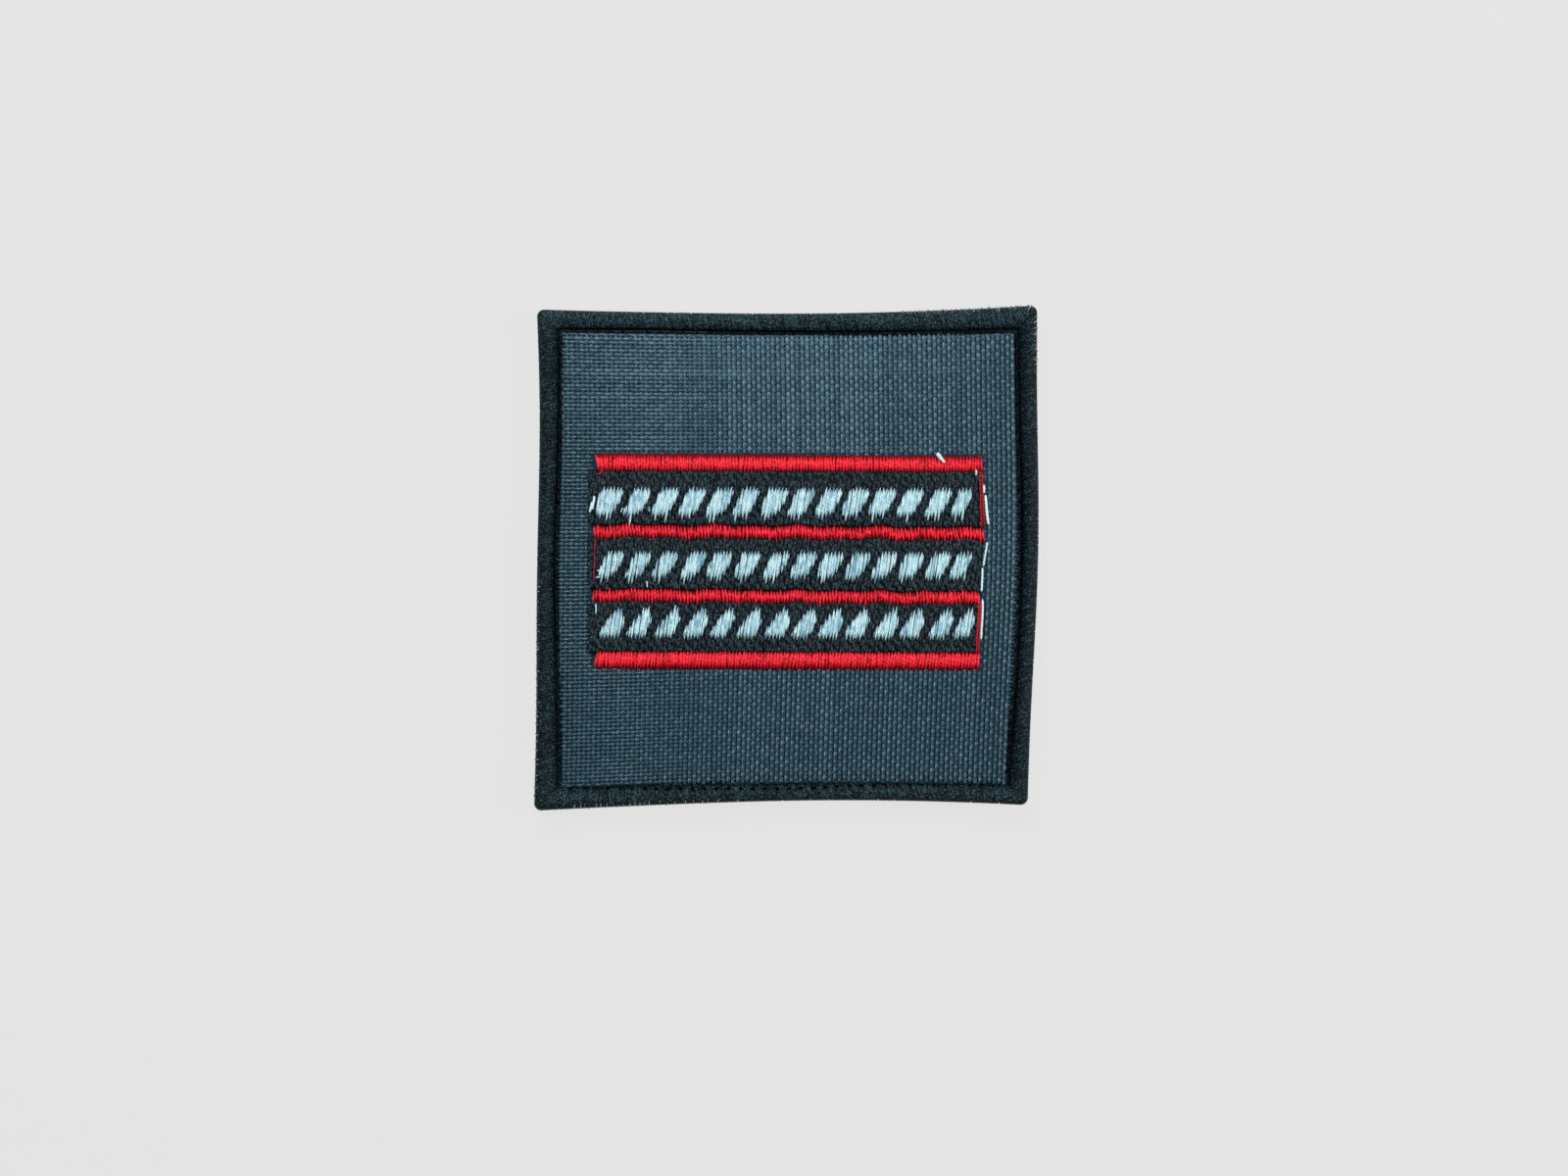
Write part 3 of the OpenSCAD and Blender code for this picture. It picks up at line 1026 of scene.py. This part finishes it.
# in the order of SIDES: how far the outer end of a stitch is ahead of its inner end, how
# light it is, as painted shade for the way the light falls on that side's threads, and how
# much darker it is painted in the furrow, as shade
SLANT = (0.4, 0.8, 0.4, 0.5)
SIDE_PAINTED_SHADE = (-1.05, -1.95, -0.65, -1.9)
FURROW_PAINTED_SHADE = (0.2, 0.5, 0.9, 0.5)
# how much the slant, the place and the needle points stray, and the height of a stitch
# and of each of its points
SLANT_STRAY, PLACE_STRAY, NEEDLE_STRAY = 0.08, 0.012, 0.05
STITCH_RISE, POINT_RISE = 0.02, 0.018
# distance from a corner at which the stitches have their full slant
FULL_SLANT = 3
# a neighbouring place, from which the direction across a stitch is measured
NEARBY = 0.05


def stitch_paths(side, middle, rng):
    """Place along the side, depth and height of every point of its stitches."""
    each = len(middle), 1
    near = np.minimum(middle, PATCH - middle)
    slant = SLANT[side] + rng.normal(0, SLANT_STRAY, len(middle))
    slant = slant * ramp(near, 0, FULL_SLANT)
    share = 0.5 - OVER[:, 0] / FURROW_D * ON_FACE
    place = middle[:, None] + slant[:, None] * share + rng.normal(0, PLACE_STRAY, each)
    depth = np.repeat(OVER[None, :, 0], len(middle), axis=0)
    depth[:, :4] = FURROW_D + (depth[:, :4] - FURROW_D) * LIP[side] / FULL_LIP
    depth[:, :2] += rng.normal(0, NEEDLE_STRAY, each)
    raised = (depth < 1.7) * (depth > 0.3) * ON_FACE
    risen = rng.normal(0, STITCH_RISE, each) + rng.normal(0, POINT_RISE, depth.shape)
    return place, depth, OVER[:, 1] + risen * raised


# %% The border's stitches
def border_side(side, rng):
    count = int(PATCH / STITCH_PITCH)
    middle = (np.arange(count) + 0.5) / count * PATCH
    place, depth, height = stitch_paths(side, middle, rng)
    laid = on_side(side, place, depth, height)
    lines = laid.copy()
    lines[..., 2] -= 0.3 * pit(lines) * (height > 2.4)
    after, before = (on_side(side, place + off, depth, height) for off in (NEARBY, -NEARBY))
    across = (after - lines) + (laid - before)
    # on the flat map the four sides lie in four rows
    gone = np.broadcast_to(np.linspace(0, 1, len(OVER)), depth.shape)
    u = np.broadcast_to(middle[:, None] / PATCH, depth.shape) * MAP_SPAN + MAP_EDGE
    v = (side + 0.02 + 0.96 * gone) / 4
    # each side's threads are painted lighter or darker for the way light falls on them, with
    # random tone about that
    tone = np.clip(rng.normal(SIDE_PAINTED_SHADE[side], 0.35, count), -2.5, 1)
    light = rng.normal(0, 0.16, depth.shape)
    # painted shade in the furrow
    light = light - np.where(OVER[:, 0] > 1.7, FURROW_PAINTED_SHADE[side], 0.0)
    # painted shade: the outer flank of the foot faces away from the light, so it is painted
    # darker
    light = light - 1.2 * (side == BOTTOM) * (OVER[:, 0] < 0.3)
    spread = (u, v, 1 / count)
    return tubes(lines, across, STITCH_WIDE, STITCH_THICK, tone, 6, spread, light)


rng = np.random.default_rng(31)
border_stitches = sewn(
    "border_stitches", [border_side(k, rng) for k in range(4)], border_thread
)

# %% [markdown]
# ## The seam
#
# The running stitch itself is a thin thread that dives into each needle hole and rises
# between two of them.

# %% Running stitches
# share of the way to the next hole, height above the seam's own
SEAM_BEND = np.array(
    [
        (0.04, -0.3), (0.12, -0.1), (0.28, 0.02), (0.5, 0.05), (0.72, 0.02), (0.88, -0.1),
        (0.96, -0.3),
    ]
)
SEAM_Z = 2.5
# half its width and thickness
SEAM_THREAD = 0.08, 0.07


def rim_height(side, place, past):
    """Height of the rim's thread, or of the cloth, at a place that far past the furrow."""
    depth = FURROW_D * (1 + past / furrow(side, place))
    return np.interp(depth, OVER[10::-1, 0], OVER[10::-1, 1]) + 0.08


def beside(line):
    """Level direction across a line on each of its points."""
    ahead = np.gradient(line, axis=1)
    return unit(np.stack([-ahead[..., 1], ahead[..., 0], 0 * ahead[..., 2]], axis=-1))


def seam_side(side, rng):
    places = seam_places(side)
    place = places[:-1, None] + np.diff(places)[:, None] * SEAM_BEND[:, 0]
    height = SEAM_Z + SEAM_BEND[:, 1] + rng.normal(0, 0.02, (len(places) - 1, 1))
    lines = on_seam(side, place, height)
    tone = rng.uniform(-1, 1, len(places) - 1)
    # painted light and shade: the seam is painted dark, as in the furrow's shade, and lighter
    # only at the upper left corner, where light falls into the furrow
    painted_lit = (side == TOP) * (place > HALF + 8)
    return tubes(lines, beside(lines), *SEAM_THREAD, tone, 6, light=0.8 * painted_lit - 0.7)


rng = np.random.default_rng(41)
seam_stitches = sewn(
    "seam_stitches", [seam_side(k, rng) for k in (RIGHT, TOP, LEFT)], seam_thread
)


# %% The holes: near-black tubes of painted shade in their pits
# how far each side's dark hole tubes lie below the threads round them
HOLE_DEEP = (0.05, 0.18, 0.12, 0.12)
# along a hole: places off its middle, how much lower, and share of its half width
HOLE_LONG = np.array((-0.16, -0.12, 0.12, 0.16))
HOLE_SINK = np.array((0.06, 0, 0, 0.06))
HOLE_TAPER = np.array((0.7, 1, 1, 0.7))
# least and most of its half width, and half its thickness
HOLE_WIDE = 0.15, 0.2
HOLE_THICK = 0.05


def hole_shade_side(side, rng):
    place = seam_places(side)[:-1, None] + HOLE_LONG
    past = np.interp(place, FIVE, SEAM_PAST[side])
    height = rim_height(side, place, past) - HOLE_DEEP[side] - HOLE_SINK
    lines = on_seam(side, place, height)
    wide = rng.uniform(*HOLE_WIDE, (len(place), 1)) * HOLE_TAPER
    return tubes(lines, beside(lines), wide, HOLE_THICK, np.zeros(len(place)), 6)


needle_hole_shade = sewn("needle_hole_shade", [hole_shade_side(k, rng) for k in range(4)], hole_painted_shade)

# %% [markdown]
# ## The black bands
#
# A wide area can't be one satin stitch, because long threads would snag. It is filled
# with short stitches in rows, each row's needle holes set off from the next. Here every
# column of stitches is one long tube that dips at its needle holes.

# %% Black fill
FILL_TOP = 3.03
FILL_PITCH = 0.3
FILL_STITCH = 0.95
FILL_STEPS = 26
# gap to the stripes
FILL_GAP = 0.04
# half a thread's thickness and width, and how far below the top its middle lies
FILL_THICK, FILL_WIDE, FILL_UNDER = 0.1, 0.165, 0.11
# how far every second stitch lies to the side of the next
FILL_ZIGZAG = 0.06
# how much the needle holes stray along a thread, and the thread in height and sideways
PHASE_STRAY, FILL_RISE, FILL_STRAY = 0.12, 0.03, 0.045
# what a needle hole takes off a thread's height and half width, and how much darker it is
# painted there, as shade in the dip
DIP_DEEP, DIP_NARROW, DIP_PAINTED_SHADE = 0.16, 0.06, 0.6


def black_band(k, rng):
    left, right = (end - MIDDLE[0] for end in BANDS[k])
    x = np.arange(left + 0.1, right - 0.05, FILL_PITCH)[:, None]
    low, high = top_y(k + 1, x) + FILL_GAP, foot_y(k, x) - FILL_GAP
    y = mix(low, high, np.linspace(0, 1, FILL_STEPS))
    number = np.arange(len(x))[:, None]
    phase = y / FILL_STITCH + (number % 3) / 3 + rng.normal(0, PHASE_STRAY, (len(x), 1))
    dip = np.maximum(0, np.cos(2 * np.pi * phase)) ** 3
    z = FILL_TOP - FILL_UNDER - DIP_DEEP * dip + rng.normal(0, FILL_RISE, y.shape)
    x_here = x + FILL_ZIGZAG * np.where(np.floor(phase) % 2, 1, -1)
    x_here = x_here + rng.normal(0, FILL_STRAY, y.shape)
    lines = np.stack([x_here, y, z], axis=-1)
    wide = FILL_WIDE - DIP_NARROW * dip
    tone = np.clip(rng.normal(0, 0.3, len(x)), -1, 1)
    # painted shade in the dips at the needle holes
    light = rng.normal(0, 0.14, y.shape) - DIP_PAINTED_SHADE * dip
    threads = tubes(lines, (-1.0, 0, 0), wide, FILL_THICK, tone, 6, light=light)
    return sewn(f"black_fill_{k + 1}", [threads], black_thread)


rng = np.random.default_rng(51)
fills = [black_band(k, rng) for k in range(3)]

# %% The padding under the fill
# heights of its foot and top, how far it stops short of the band's ends, and how far it
# runs in under the stripes
PAD_HEIGHTS = 2.52, 2.88
PAD_SHORT, PAD_UNDER = 0.06, 0.1


def fill_pad(k):
    left, right = (end - MIDDLE[0] for end in BANDS[k])
    x = np.linspace(left + PAD_SHORT, right - PAD_SHORT, 60)
    y = np.concatenate([top_y(k + 1, x) - PAD_UNDER, (foot_y(k, x) + PAD_UNDER)[::-1]])
    x = np.concatenate([x, x[::-1]])
    loops = [np.stack([x, y, np.full_like(x, z)], axis=1) for z in PAD_HEIGHTS]
    return looped(f"fill_pad_{k + 1}", loops, black_padding)


fill_pads = [fill_pad(k) for k in range(3)]

# %% [markdown]
# ## The red stripes
#
# A stripe is satin stitch: one thread zigzags between two needle lines over a padding,
# so it is crowned in the middle, and each edge is a row of fine teeth. The top stripe's
# stitches are even; those of the two middle stripes are short and ragged.

# %% Satin legs
LEG_STEPS = 10
LEG_THICK = 0.1
# distance from its end in which a leg rises to the crown, and in which it grows to its width
LEG_REACH = 0.7
TIP = 0.55
# width and thickness of its tips against the rest of it
TIP_WIDE, TIP_THICK = 0.16, 0.6
# how much legs stray in height and sideways on the crown
LEG_RISE, LEG_STRAY = 0.018, 0.02


def satin_legs(low_x, low, high_x, high, foot_z, crown, wide, uneven, sunk_and_shaded, rng):
    """Legs from needle points on a low line to points on a high line, over a crown. Each
    narrows to a tip at both ends. uneven is how much their light differs at random, and sunk
    how much lower every second one lies, and how much darker it is painted than the legs
    between: painted shade on it, and painted light on them."""
    share = 0.5 - 0.5 * np.cos(np.linspace(0, np.pi, LEG_STEPS))
    x = mix(low_x[:, None], high_x[:, None], share)
    y = mix(low[:, None], high[:, None], share)
    length = np.hypot(high_x - low_x, high - low)[:, None]
    to_end = np.minimum(share, 1 - share) * length
    up = 1 - (1 - ramp(to_end, 0, LEG_REACH)) ** 2.5
    odd = np.arange(len(low_x))[:, None] % 2
    each = len(low_x), 1
    z = mix(foot_z, crown - sunk_and_shaded[0] * odd, up) + rng.normal(0, LEG_RISE, each) * up
    x = x + rng.normal(0, LEG_STRAY, each) * up
    tip = mix(TIP_WIDE, 1.0, ramp(to_end, 0, TIP) ** 0.8)
    tone = np.clip(rng.normal(0, 1.6 * uneven, len(low_x)), -1, 1)
    # painted light and shade: every second leg darker, the legs between lighter
    light = rng.normal(0.06, uneven, x.shape) + sunk_and_shaded[1] * (0.5 - odd)
    lines = np.stack([x, y, z], axis=-1)
    thick = LEG_THICK * mix(TIP_THICK, 1, tip)
    return tubes(lines, (-1.0, 0, 0), wide * tip, thick, tone, 8, light=light)


def needle_row(left, right, pitch, rng, stray=0.02):
    count = round((right - left) / pitch)
    x = left + (np.arange(count) + 0.5) * (right - left) / count
    return x + rng.normal(0, stray, count)


# %% The four stripes
# lean of the legs, raggedness, half width, pitch, how far alternate legs cross
STRIPE_SEWING = [
    (0.0, 0.03, 0.112, 0.156, 0.0),
    (0.05, 0.12, 0.096, 0.165, 0.13),
    (0.08, 0.11, 0.097, 0.165, 0.11),
    (0.2, 0.04, 0.112, 0.165, 0.0),
]
# how far the legs reach over the top and the foot of the solid stripe
REACH_OVER = [(-0.05, 0.12), (0.0, 0.12), (0.08, 0.15), (0.15, 0.1)]
# width of the fan at the left end of the top stripe
FAN_OUT = 1.3
# how much shorter every second leg is at both ends
SHORT = 0.12
# heights of a leg's ends and crown
STRIPE_HEIGHTS = 2.56, 3.1
RED_UNEVEN = 0.5
# how much lower every second leg lies, and how much darker it is painted than the others, as
# painted shade
RED_SUNK_AND_SHADED = 0.06, 0.95


def red_stripe(k, rng):
    lean, ragged, wide, pitch, cross = STRIPE_SEWING[k]
    left, right = STRIPES[k][0] - MIDDLE[0] + 0.1, STRIPES[k][1] - MIDDLE[0]
    x = needle_row(left, right, pitch, rng)
    odd = np.arange(len(x)) % 2
    low = foot_y(k, x) - REACH_OVER[k][1] + rng.normal(0, ragged, len(x)) + SHORT * odd
    high = top_y(k, x) + REACH_OVER[k][0] + rng.normal(0, ragged, len(x)) - SHORT * odd
    slant = lean + 0.1 * wander(1.7 * x) + rng.normal(0, 0.07, len(x)) + cross * (2 * odd - 1)
    if k == 0:
        # the first legs fan out to the left, where the thread starts
        fan = np.clip(1 - (x - x[0]) / FAN_OUT, 0, 1)
        slant -= 0.5 * fan
        x = x + 0.2 * fan
    ends = (x - slant / 2, low, x + slant / 2, high)
    legs = satin_legs(*ends, *STRIPE_HEIGHTS, wide, RED_UNEVEN, RED_SUNK_AND_SHADED, rng)
    return sewn(f"red_satin_{k + 1}", [legs], red_thread)


rng = np.random.default_rng(61)
satins = [red_stripe(k, rng) for k in range(4)]

# %% The padding under the stripes
# share of the way from the foot to the top of a stripe, and height
CROWN = np.array(
    [
        (-0.06, 2.42), (-0.06, 2.56), (0.08, 2.7), (0.25, 2.93), (0.5, 3.01), (0.75, 2.93),
        (0.92, 2.7), (1.06, 2.56), (1.06, 2.42),
    ]
)


def stripe_pad(k):
    x = np.linspace(STRIPES[k][0] + 0.4, STRIPES[k][1] - 0.1, 40)[:, None] - MIDDLE[0]
    y = mix(foot_y(k, x) - REACH_OVER[k][1], top_y(k, x) + REACH_OVER[k][0], CROWN[:, 0])
    loops = np.stack([x + 0 * y, y, CROWN[:, 1] + 0 * y], axis=-1)
    return looped(f"red_pad_{k + 1}", list(loops), red_padding)


stripe_pads = [stripe_pad(k) for k in range(4)]

# %% [markdown]
# ## The pale dashes
#
# Each dash is a small slanted satin. Its legs lean a little to the right, and their
# needle points follow a slanted outline: level at the top and ragged at the foot in the
# upper two rows, and the other way round in the lowest, which is sewn half turned. The
# lower two rows are sewn a little looser, so the band shows between their threads.

# %% The tables of dashes
DASH_W = 2.46
# the last dash of each row is the narrowest
LAST_WIDE = (0.72, 0.8, 0.86)
# width of a tooth, and how much shorter the second of its two legs is at both ends
DASH_TOOTH = 0.344
DASH_SHORT = 0.26
# the least height of a leg, and how far the legs lean for each mm of height
LEAST_LEG = 0.5
DASH_LEAN = math.tan(math.radians(8.5))
# heights of a leg's ends and crown
DASH_HEIGHTS = 2.96, 3.2
# centres of each row's dashes, from the left
DASH_X = [
    (-17.95, -15.17, -12.3, -9.56, -6.7, -4.1, -1.14, 1.55, 4.36, 7.1, 9.83, 12.63, 15.5, 17.9),
    (-17.83, -15.03, -12.3, -9.42, -6.75, -3.9, -1.0, 1.8, 4.57, 7.3, 10.04, 12.77, 15.5, 17.8),
    (-17.7, -14.9, -12.0, -9.2, -6.4, -3.7, -0.86, 1.9, 4.57, 7.3, 10.25, 12.84, 15.8, 18.17),
]
# top, foot, fall from left to right, turned half round
ROWS = [(7.2, 4.1, 0.08, False), (0.74, -2.2, 0.14, False), (-5.0, -8.25, 0.12, True)]
# outline of a dash, as shares of its width and height: across, upper and lower edge of an
# upright one, and the same for a turned one, seen the way it was sewn
DASH_ACROSS = (0.0, 0.1, 0.2, 0.3, 0.5, 0.7, 0.86, 1.0)
UPRIGHT = [
    (0.4, 0.62, 0.9, 1, 1, 1, 1, 0.97),
    (0.1, 0, 0, 0.03, 0.06, 0.14, 0.4, 0.7),
]
TURNED = [
    (0.45, 0.72, 0.95, 1, 1, 1, 1, 0.97),
    (0.42, 0.16, 0.03, 0.02, 0.14, 0.34, 0.55, 0.76),
]
# how much longer single teeth are, and a row's width against the others
TOOTH_OVER = [(0.2, 0.7), (0.2, 0.5), (0.0, 0.2)]
ROW_WIDE = (1.0, 0.96, 0.96)
# a leg's half width, how much its light differs, and how far it strays, in each row
DASH_LEGS = [(0.107, 0.28, 0.022), (0.097, 0.33, 0.034), (0.097, 0.33, 0.031)]


# %% The edges of a dash
def dash_edges(row, place, across, rng):
    """Lower and upper end of each leg, from the dash's middle, at shares of its width."""
    head, foot, _, turned = ROWS[row]
    # the first dash of the first row is squarer, and every dash has its own shoulder
    shoulder = 0.35 if row + place == 0 else rng.normal(0, 0.1)
    form = TURNED if turned else UPRIGHT
    upper, lower = (np.interp(across, DASH_ACROSS, edge) for edge in form)
    upper = np.minimum(upper + shoulder * np.clip(1.3 - across / 0.3, 0, 1), 1.0)
    inside = DASH_SHORT * (np.arange(len(across)) % 2)
    low = (lower - 0.5) * (head - foot) + inside
    high = (upper - 0.5) * (head - foot) - inside
    low -= np.abs(rng.normal(0, 0.1, len(low)))
    low[2 * rng.integers(1, 5, 2)] -= rng.uniform(*TOOTH_OVER[row], 2)
    high += rng.normal(0, 0.05, len(high))
    short = np.clip(LEAST_LEG - (high - low), 0, None) / 2
    return low - short, high + short


# %% The dashes
def dash(row, place, rng):
    """Two legs to a tooth: a long one that ends in the tip, and a short one beside it."""
    head, foot, fall, turned = ROWS[row]
    centre = DASH_X[row][place], (head + foot) / 2 - fall * place / 13
    wide = DASH_W * ROW_WIDE[row] * (LAST_WIDE[row] if place == 13 else 1)
    leg_wide, uneven, stray = DASH_LEGS[row]
    x = needle_row(-wide / 2, wide / 2, DASH_TOOTH / 2, rng, stray)
    low, high = dash_edges(row, place, x / wide + 0.5, rng)
    low_x, high_x = x + low * DASH_LEAN, x + high * DASH_LEAN
    if turned:
        low_x, low, high_x, high = -high_x, -high, -low_x, -low
    ends = (low_x + centre[0], low + centre[1], high_x + centre[0], high + centre[1])
    ends = [end - MIDDLE[i % 2] for i, end in enumerate(ends)]
    legs = satin_legs(*ends, *DASH_HEIGHTS, leg_wide, uneven, (0.0, 0.0), rng)
    return sewn(f"pale_dash_{row + 1}_{place + 1:02d}", [legs], blue_thread)


rng = np.random.default_rng(71)
dashes = [[dash(row, place, rng) for place in range(14)] for row in range(3)]

# %% [markdown]
# ## Loose threads and scraps
#
# Between two stripes or two dashes the machine doesn't cut the thread: it travels, and
# leaves a loose strand down the side of the block. Snipped ends and bits of lint lie
# about as well. They are what makes new embroidery look real, so each one in the photo
# is laid as a bent tube.

# %% Strands
STRAND_STEPS = 14


def bent(points):
    """A smooth line drawn by its control points."""
    points = np.array(points, float)
    t = np.linspace(0, 1, STRAND_STEPS)[:, None]
    while len(points) > 1:
        points = [mix(a, b, t) for a, b in zip(points[:-1], points[1:])]
    return points[0] - np.array((MIDDLE[0], MIDDLE[1], 0))


def strands(name, table, finish, seed, light):
    """Each row of the table is a half width and the control points of one strand.
    It narrows to its ends."""
    rng = np.random.default_rng(seed)
    lines = np.stack([bent(points) for _, points in table])
    ends = np.minimum(1, 0.35 + 3 * np.sin(np.pi * np.linspace(0, 1, STRAND_STEPS)))
    wide = np.array([half for half, _ in table])[:, None] * ends
    tone = rng.uniform(-1, 1, len(table))
    laid = tubes(lines, beside(lines), wide, 0.8 * wide, tone, 8, light=light)
    return sewn(name, [laid], finish)


# %% The red strands
RED_STRANDS = [
    (0.08, [(19.7, 8.9, 3.0), (19.85, 7.5, 3.12), (19.75, 5.0, 3.12), (19.95, 3.0, 3.0)]),
    (0.08, [(19.95, 8.9, 3.0), (20.05, 7.0, 3.1), (20.0, 5.0, 3.1), (20.2, 3.1, 3.0)]),
    (0.09, [(19.6, -4.4, 3.0), (19.7, -6.0, 3.12), (19.35, -8.0, 3.12), (19.4, -9.8, 3.0)]),
    (0.08, [(19.8, -4.4, 3.0), (19.8, -6.5, 3.1), (19.65, -8.0, 3.1), (19.6, -9.8, 3.0)]),
    (0.05, [(-19.4, 1.9, 3.0), (-19.55, 1.0, 3.12), (-19.5, -1.0, 3.12), (-19.6, -2.4, 3.0)]),
    (0.09, [(-19.0, 9.6, 3.08), (-18.5, 8.9, 3.16), (-19.0, 8.3, 3.14), (-19.2, 8.55, 3.05)]),
]
red_strands = strands("red_strands", RED_STRANDS, red_thread, 81, -1.0)

# %% The pale strands, specks and lint
PALE_STRANDS = [
    (0.13, [(20.1, 7.4, 2.95), (20.2, 7.0, 3.1), (20.1, 6.6, 2.95)]),
    (0.14, [(20.3, 6.4, 2.9), (20.4, 5.5, 3.05), (20.4, 4.5, 3.0), (20.65, 3.3, 2.8)]),
    (0.11, [(20.5, 1.6, 2.8), (20.4, 0.8, 2.9), (20.2, 0.0, 2.9), (20.1, -0.9, 2.85)]),
    (0.1, [(20.0, -1.0, 3.0), (20.0, -2.0, 3.12), (19.9, -3.5, 3.0)]),
    (0.11, [(20.0, -4.2, 2.95), (20.1, -5.5, 3.1), (19.9, -7.0, 3.1), (19.85, -8.4, 2.95)]),
    (0.12, [(-19.55, 6.3, 2.98), (-19.5, 5.8, 3.12), (-19.7, 5.4, 3.1), (-19.75, 4.9, 2.98)]),
    (0.12, [(-19.75, 5.7, 2.98), (-19.75, 5.4, 3.1), (-19.95, 5.0, 3.1), (-20.0, 4.6, 2.95)]),
    (0.2, [(15.35, 10.6, 3.1), (15.5, 10.5, 3.2), (15.75, 10.2, 3.22), (15.85, 9.9, 3.12)]),
    (0.13, [(15.4, 10.35, 3.12), (15.7, 10.2, 3.24), (15.9, 9.95, 3.24), (16.15, 9.7, 3.12)]),
    (0.1, [(19.3, 9.0, 3.0), (19.4, 8.7, 3.1), (19.35, 8.4, 3.0)]),
    (0.06, [(-19.3, -1.3, 3.0), (-18.8, -1.2, 3.2), (-18.8, -2.1, 3.2), (-19.4, -2.0, 3.0)]),
    (0.07, [(-19.4, -4.7, 3.0), (-19.3, -5.2, 3.1), (-19.4, -5.7, 3.0)]),
    (0.06, [(-14.2, -2.4, 3.02), (-14.1, -2.7, 3.1), (-14.15, -3.0, 3.02)]),
    (0.06, [(-16.6, 5.1, 3.02), (-16.75, 4.9, 3.1), (-16.8, 4.6, 3.02)]),
    (0.06, [(-13.9, 5.2, 3.02), (-14.0, 4.95, 3.1), (-13.9, 4.7, 3.02)]),
]
pale_strands = strands("pale_strands", PALE_STRANDS, blue_thread, 82, 0.5)

# %% [markdown]
# ## Ticks on the outer edge
#
# The rim's thread is pulled so tight that the paler thread from the back shows between
# its stitches as tiny ticks on the outer wall.

# %% Ticks
# side, first and last place along it, pitch, how far the ticks stand out
TICKS = [
    (BOTTOM, 3.4, 12.0, 0.58, 0.0),
    (BOTTOM, 12.0, 23.8, 0.88, 0.0),
    (RIGHT, 44.0, 50.2, 0.42, 0.02),
    (TOP, 0.6, 14.0, 0.42, 0.06),
    (LEFT, 28.0, 50.0, 0.8, 0.03),
]
# depth in from the edge and height
TICK_BEND = np.array([(0.42, 3.12), (0.22, 2.97), (0.05, 2.66), (-0.01, 2.3), (0.03, 1.9)])
TICK_WIDE = np.array((0.025, 0.05, 0.06, 0.05, 0.02))
TICK_THICK = 0.04


def ticks(side, first, last, pitch, out, rng):
    place = np.arange(first, last, pitch)[:, None]
    lean = rng.normal(0.06, 0.06, place.shape) * np.linspace(1, -1, len(TICK_BEND))
    place = place + rng.normal(0, 0.14, place.shape) + lean
    long = rng.uniform(0.6, 1.15, (len(place), 1))
    depth = TICK_BEND[:, 0] * long - out + rng.normal(0, 0.01, (len(place), 1))
    height = TICK_BEND[:, 1] + 0 * place
    lines = on_side(side, place, depth, height)
    across = on_side(side, place + NEARBY, depth, height) - lines
    light = rng.normal(-0.1, 0.4, (len(place), 1))
    tone = rng.uniform(-1, 1, len(place))
    return tubes(lines, across, TICK_WIDE, TICK_THICK, tone, 6, light=light)


rng = np.random.default_rng(91)
edge_ticks = sewn("edge_ticks", [ticks(*row, rng) for row in TICKS], tick_thread)

# %% [markdown]
# ## The floor
#
# The table is a plain pale plane with no horizon. It isn't part of the patch.

# %% Floor
HALF_FLOOR = 2000.0
# the floor lies a hair below the patch, so the two never touch
FLOOR_GAP = 0.01

corners = np.array([(-1, -1, 0), (1, -1, 0), (1, 1, 0), (-1, 1, 0)]) * HALF_FLOOR
floor = mesh_piece("floor", corners, [np.arange(4)[None]], floor_paint)
floor.location.z = -FLOOR_GAP * MM

# %% [markdown]
# ## Which piece stands for which solid
#
# Every piece rides with the patch's only body. The stitched pieces take the place of the
# plain solids, which stay in the model for collision.

# %% Hand over the solids
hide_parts("ground_cloth")
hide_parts("border")
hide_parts("hook_backing")
for k in range(3):
    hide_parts(f"black_band_{k + 1}")
for k in range(4):
    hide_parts(f"red_stripe_{k + 1}")
for row in range(3):
    for place in range(14):
        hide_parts(f"dash_{row + 1}_{place + 1:02d}")

# %% The pieces by finish, and the body they ride on
SLOTS = {
    "cloth": [cloth_base, warp_yarns, weft_yarns],
    "border_thread": [
        border_stitches, border_padding, seam_stitches, edge_ticks, needle_hole_shade,
    ],
    "hook_tape": [hook_tape, hooks],
    "black_thread": fills + fill_pads,
    "red_thread": satins + stripe_pads + [red_strands],
    "blue_thread": [piece for row in dashes for piece in row] + [pale_strands],
}
for slot, pieces in SLOTS.items():
    for piece in pieces:
        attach(piece, "root")
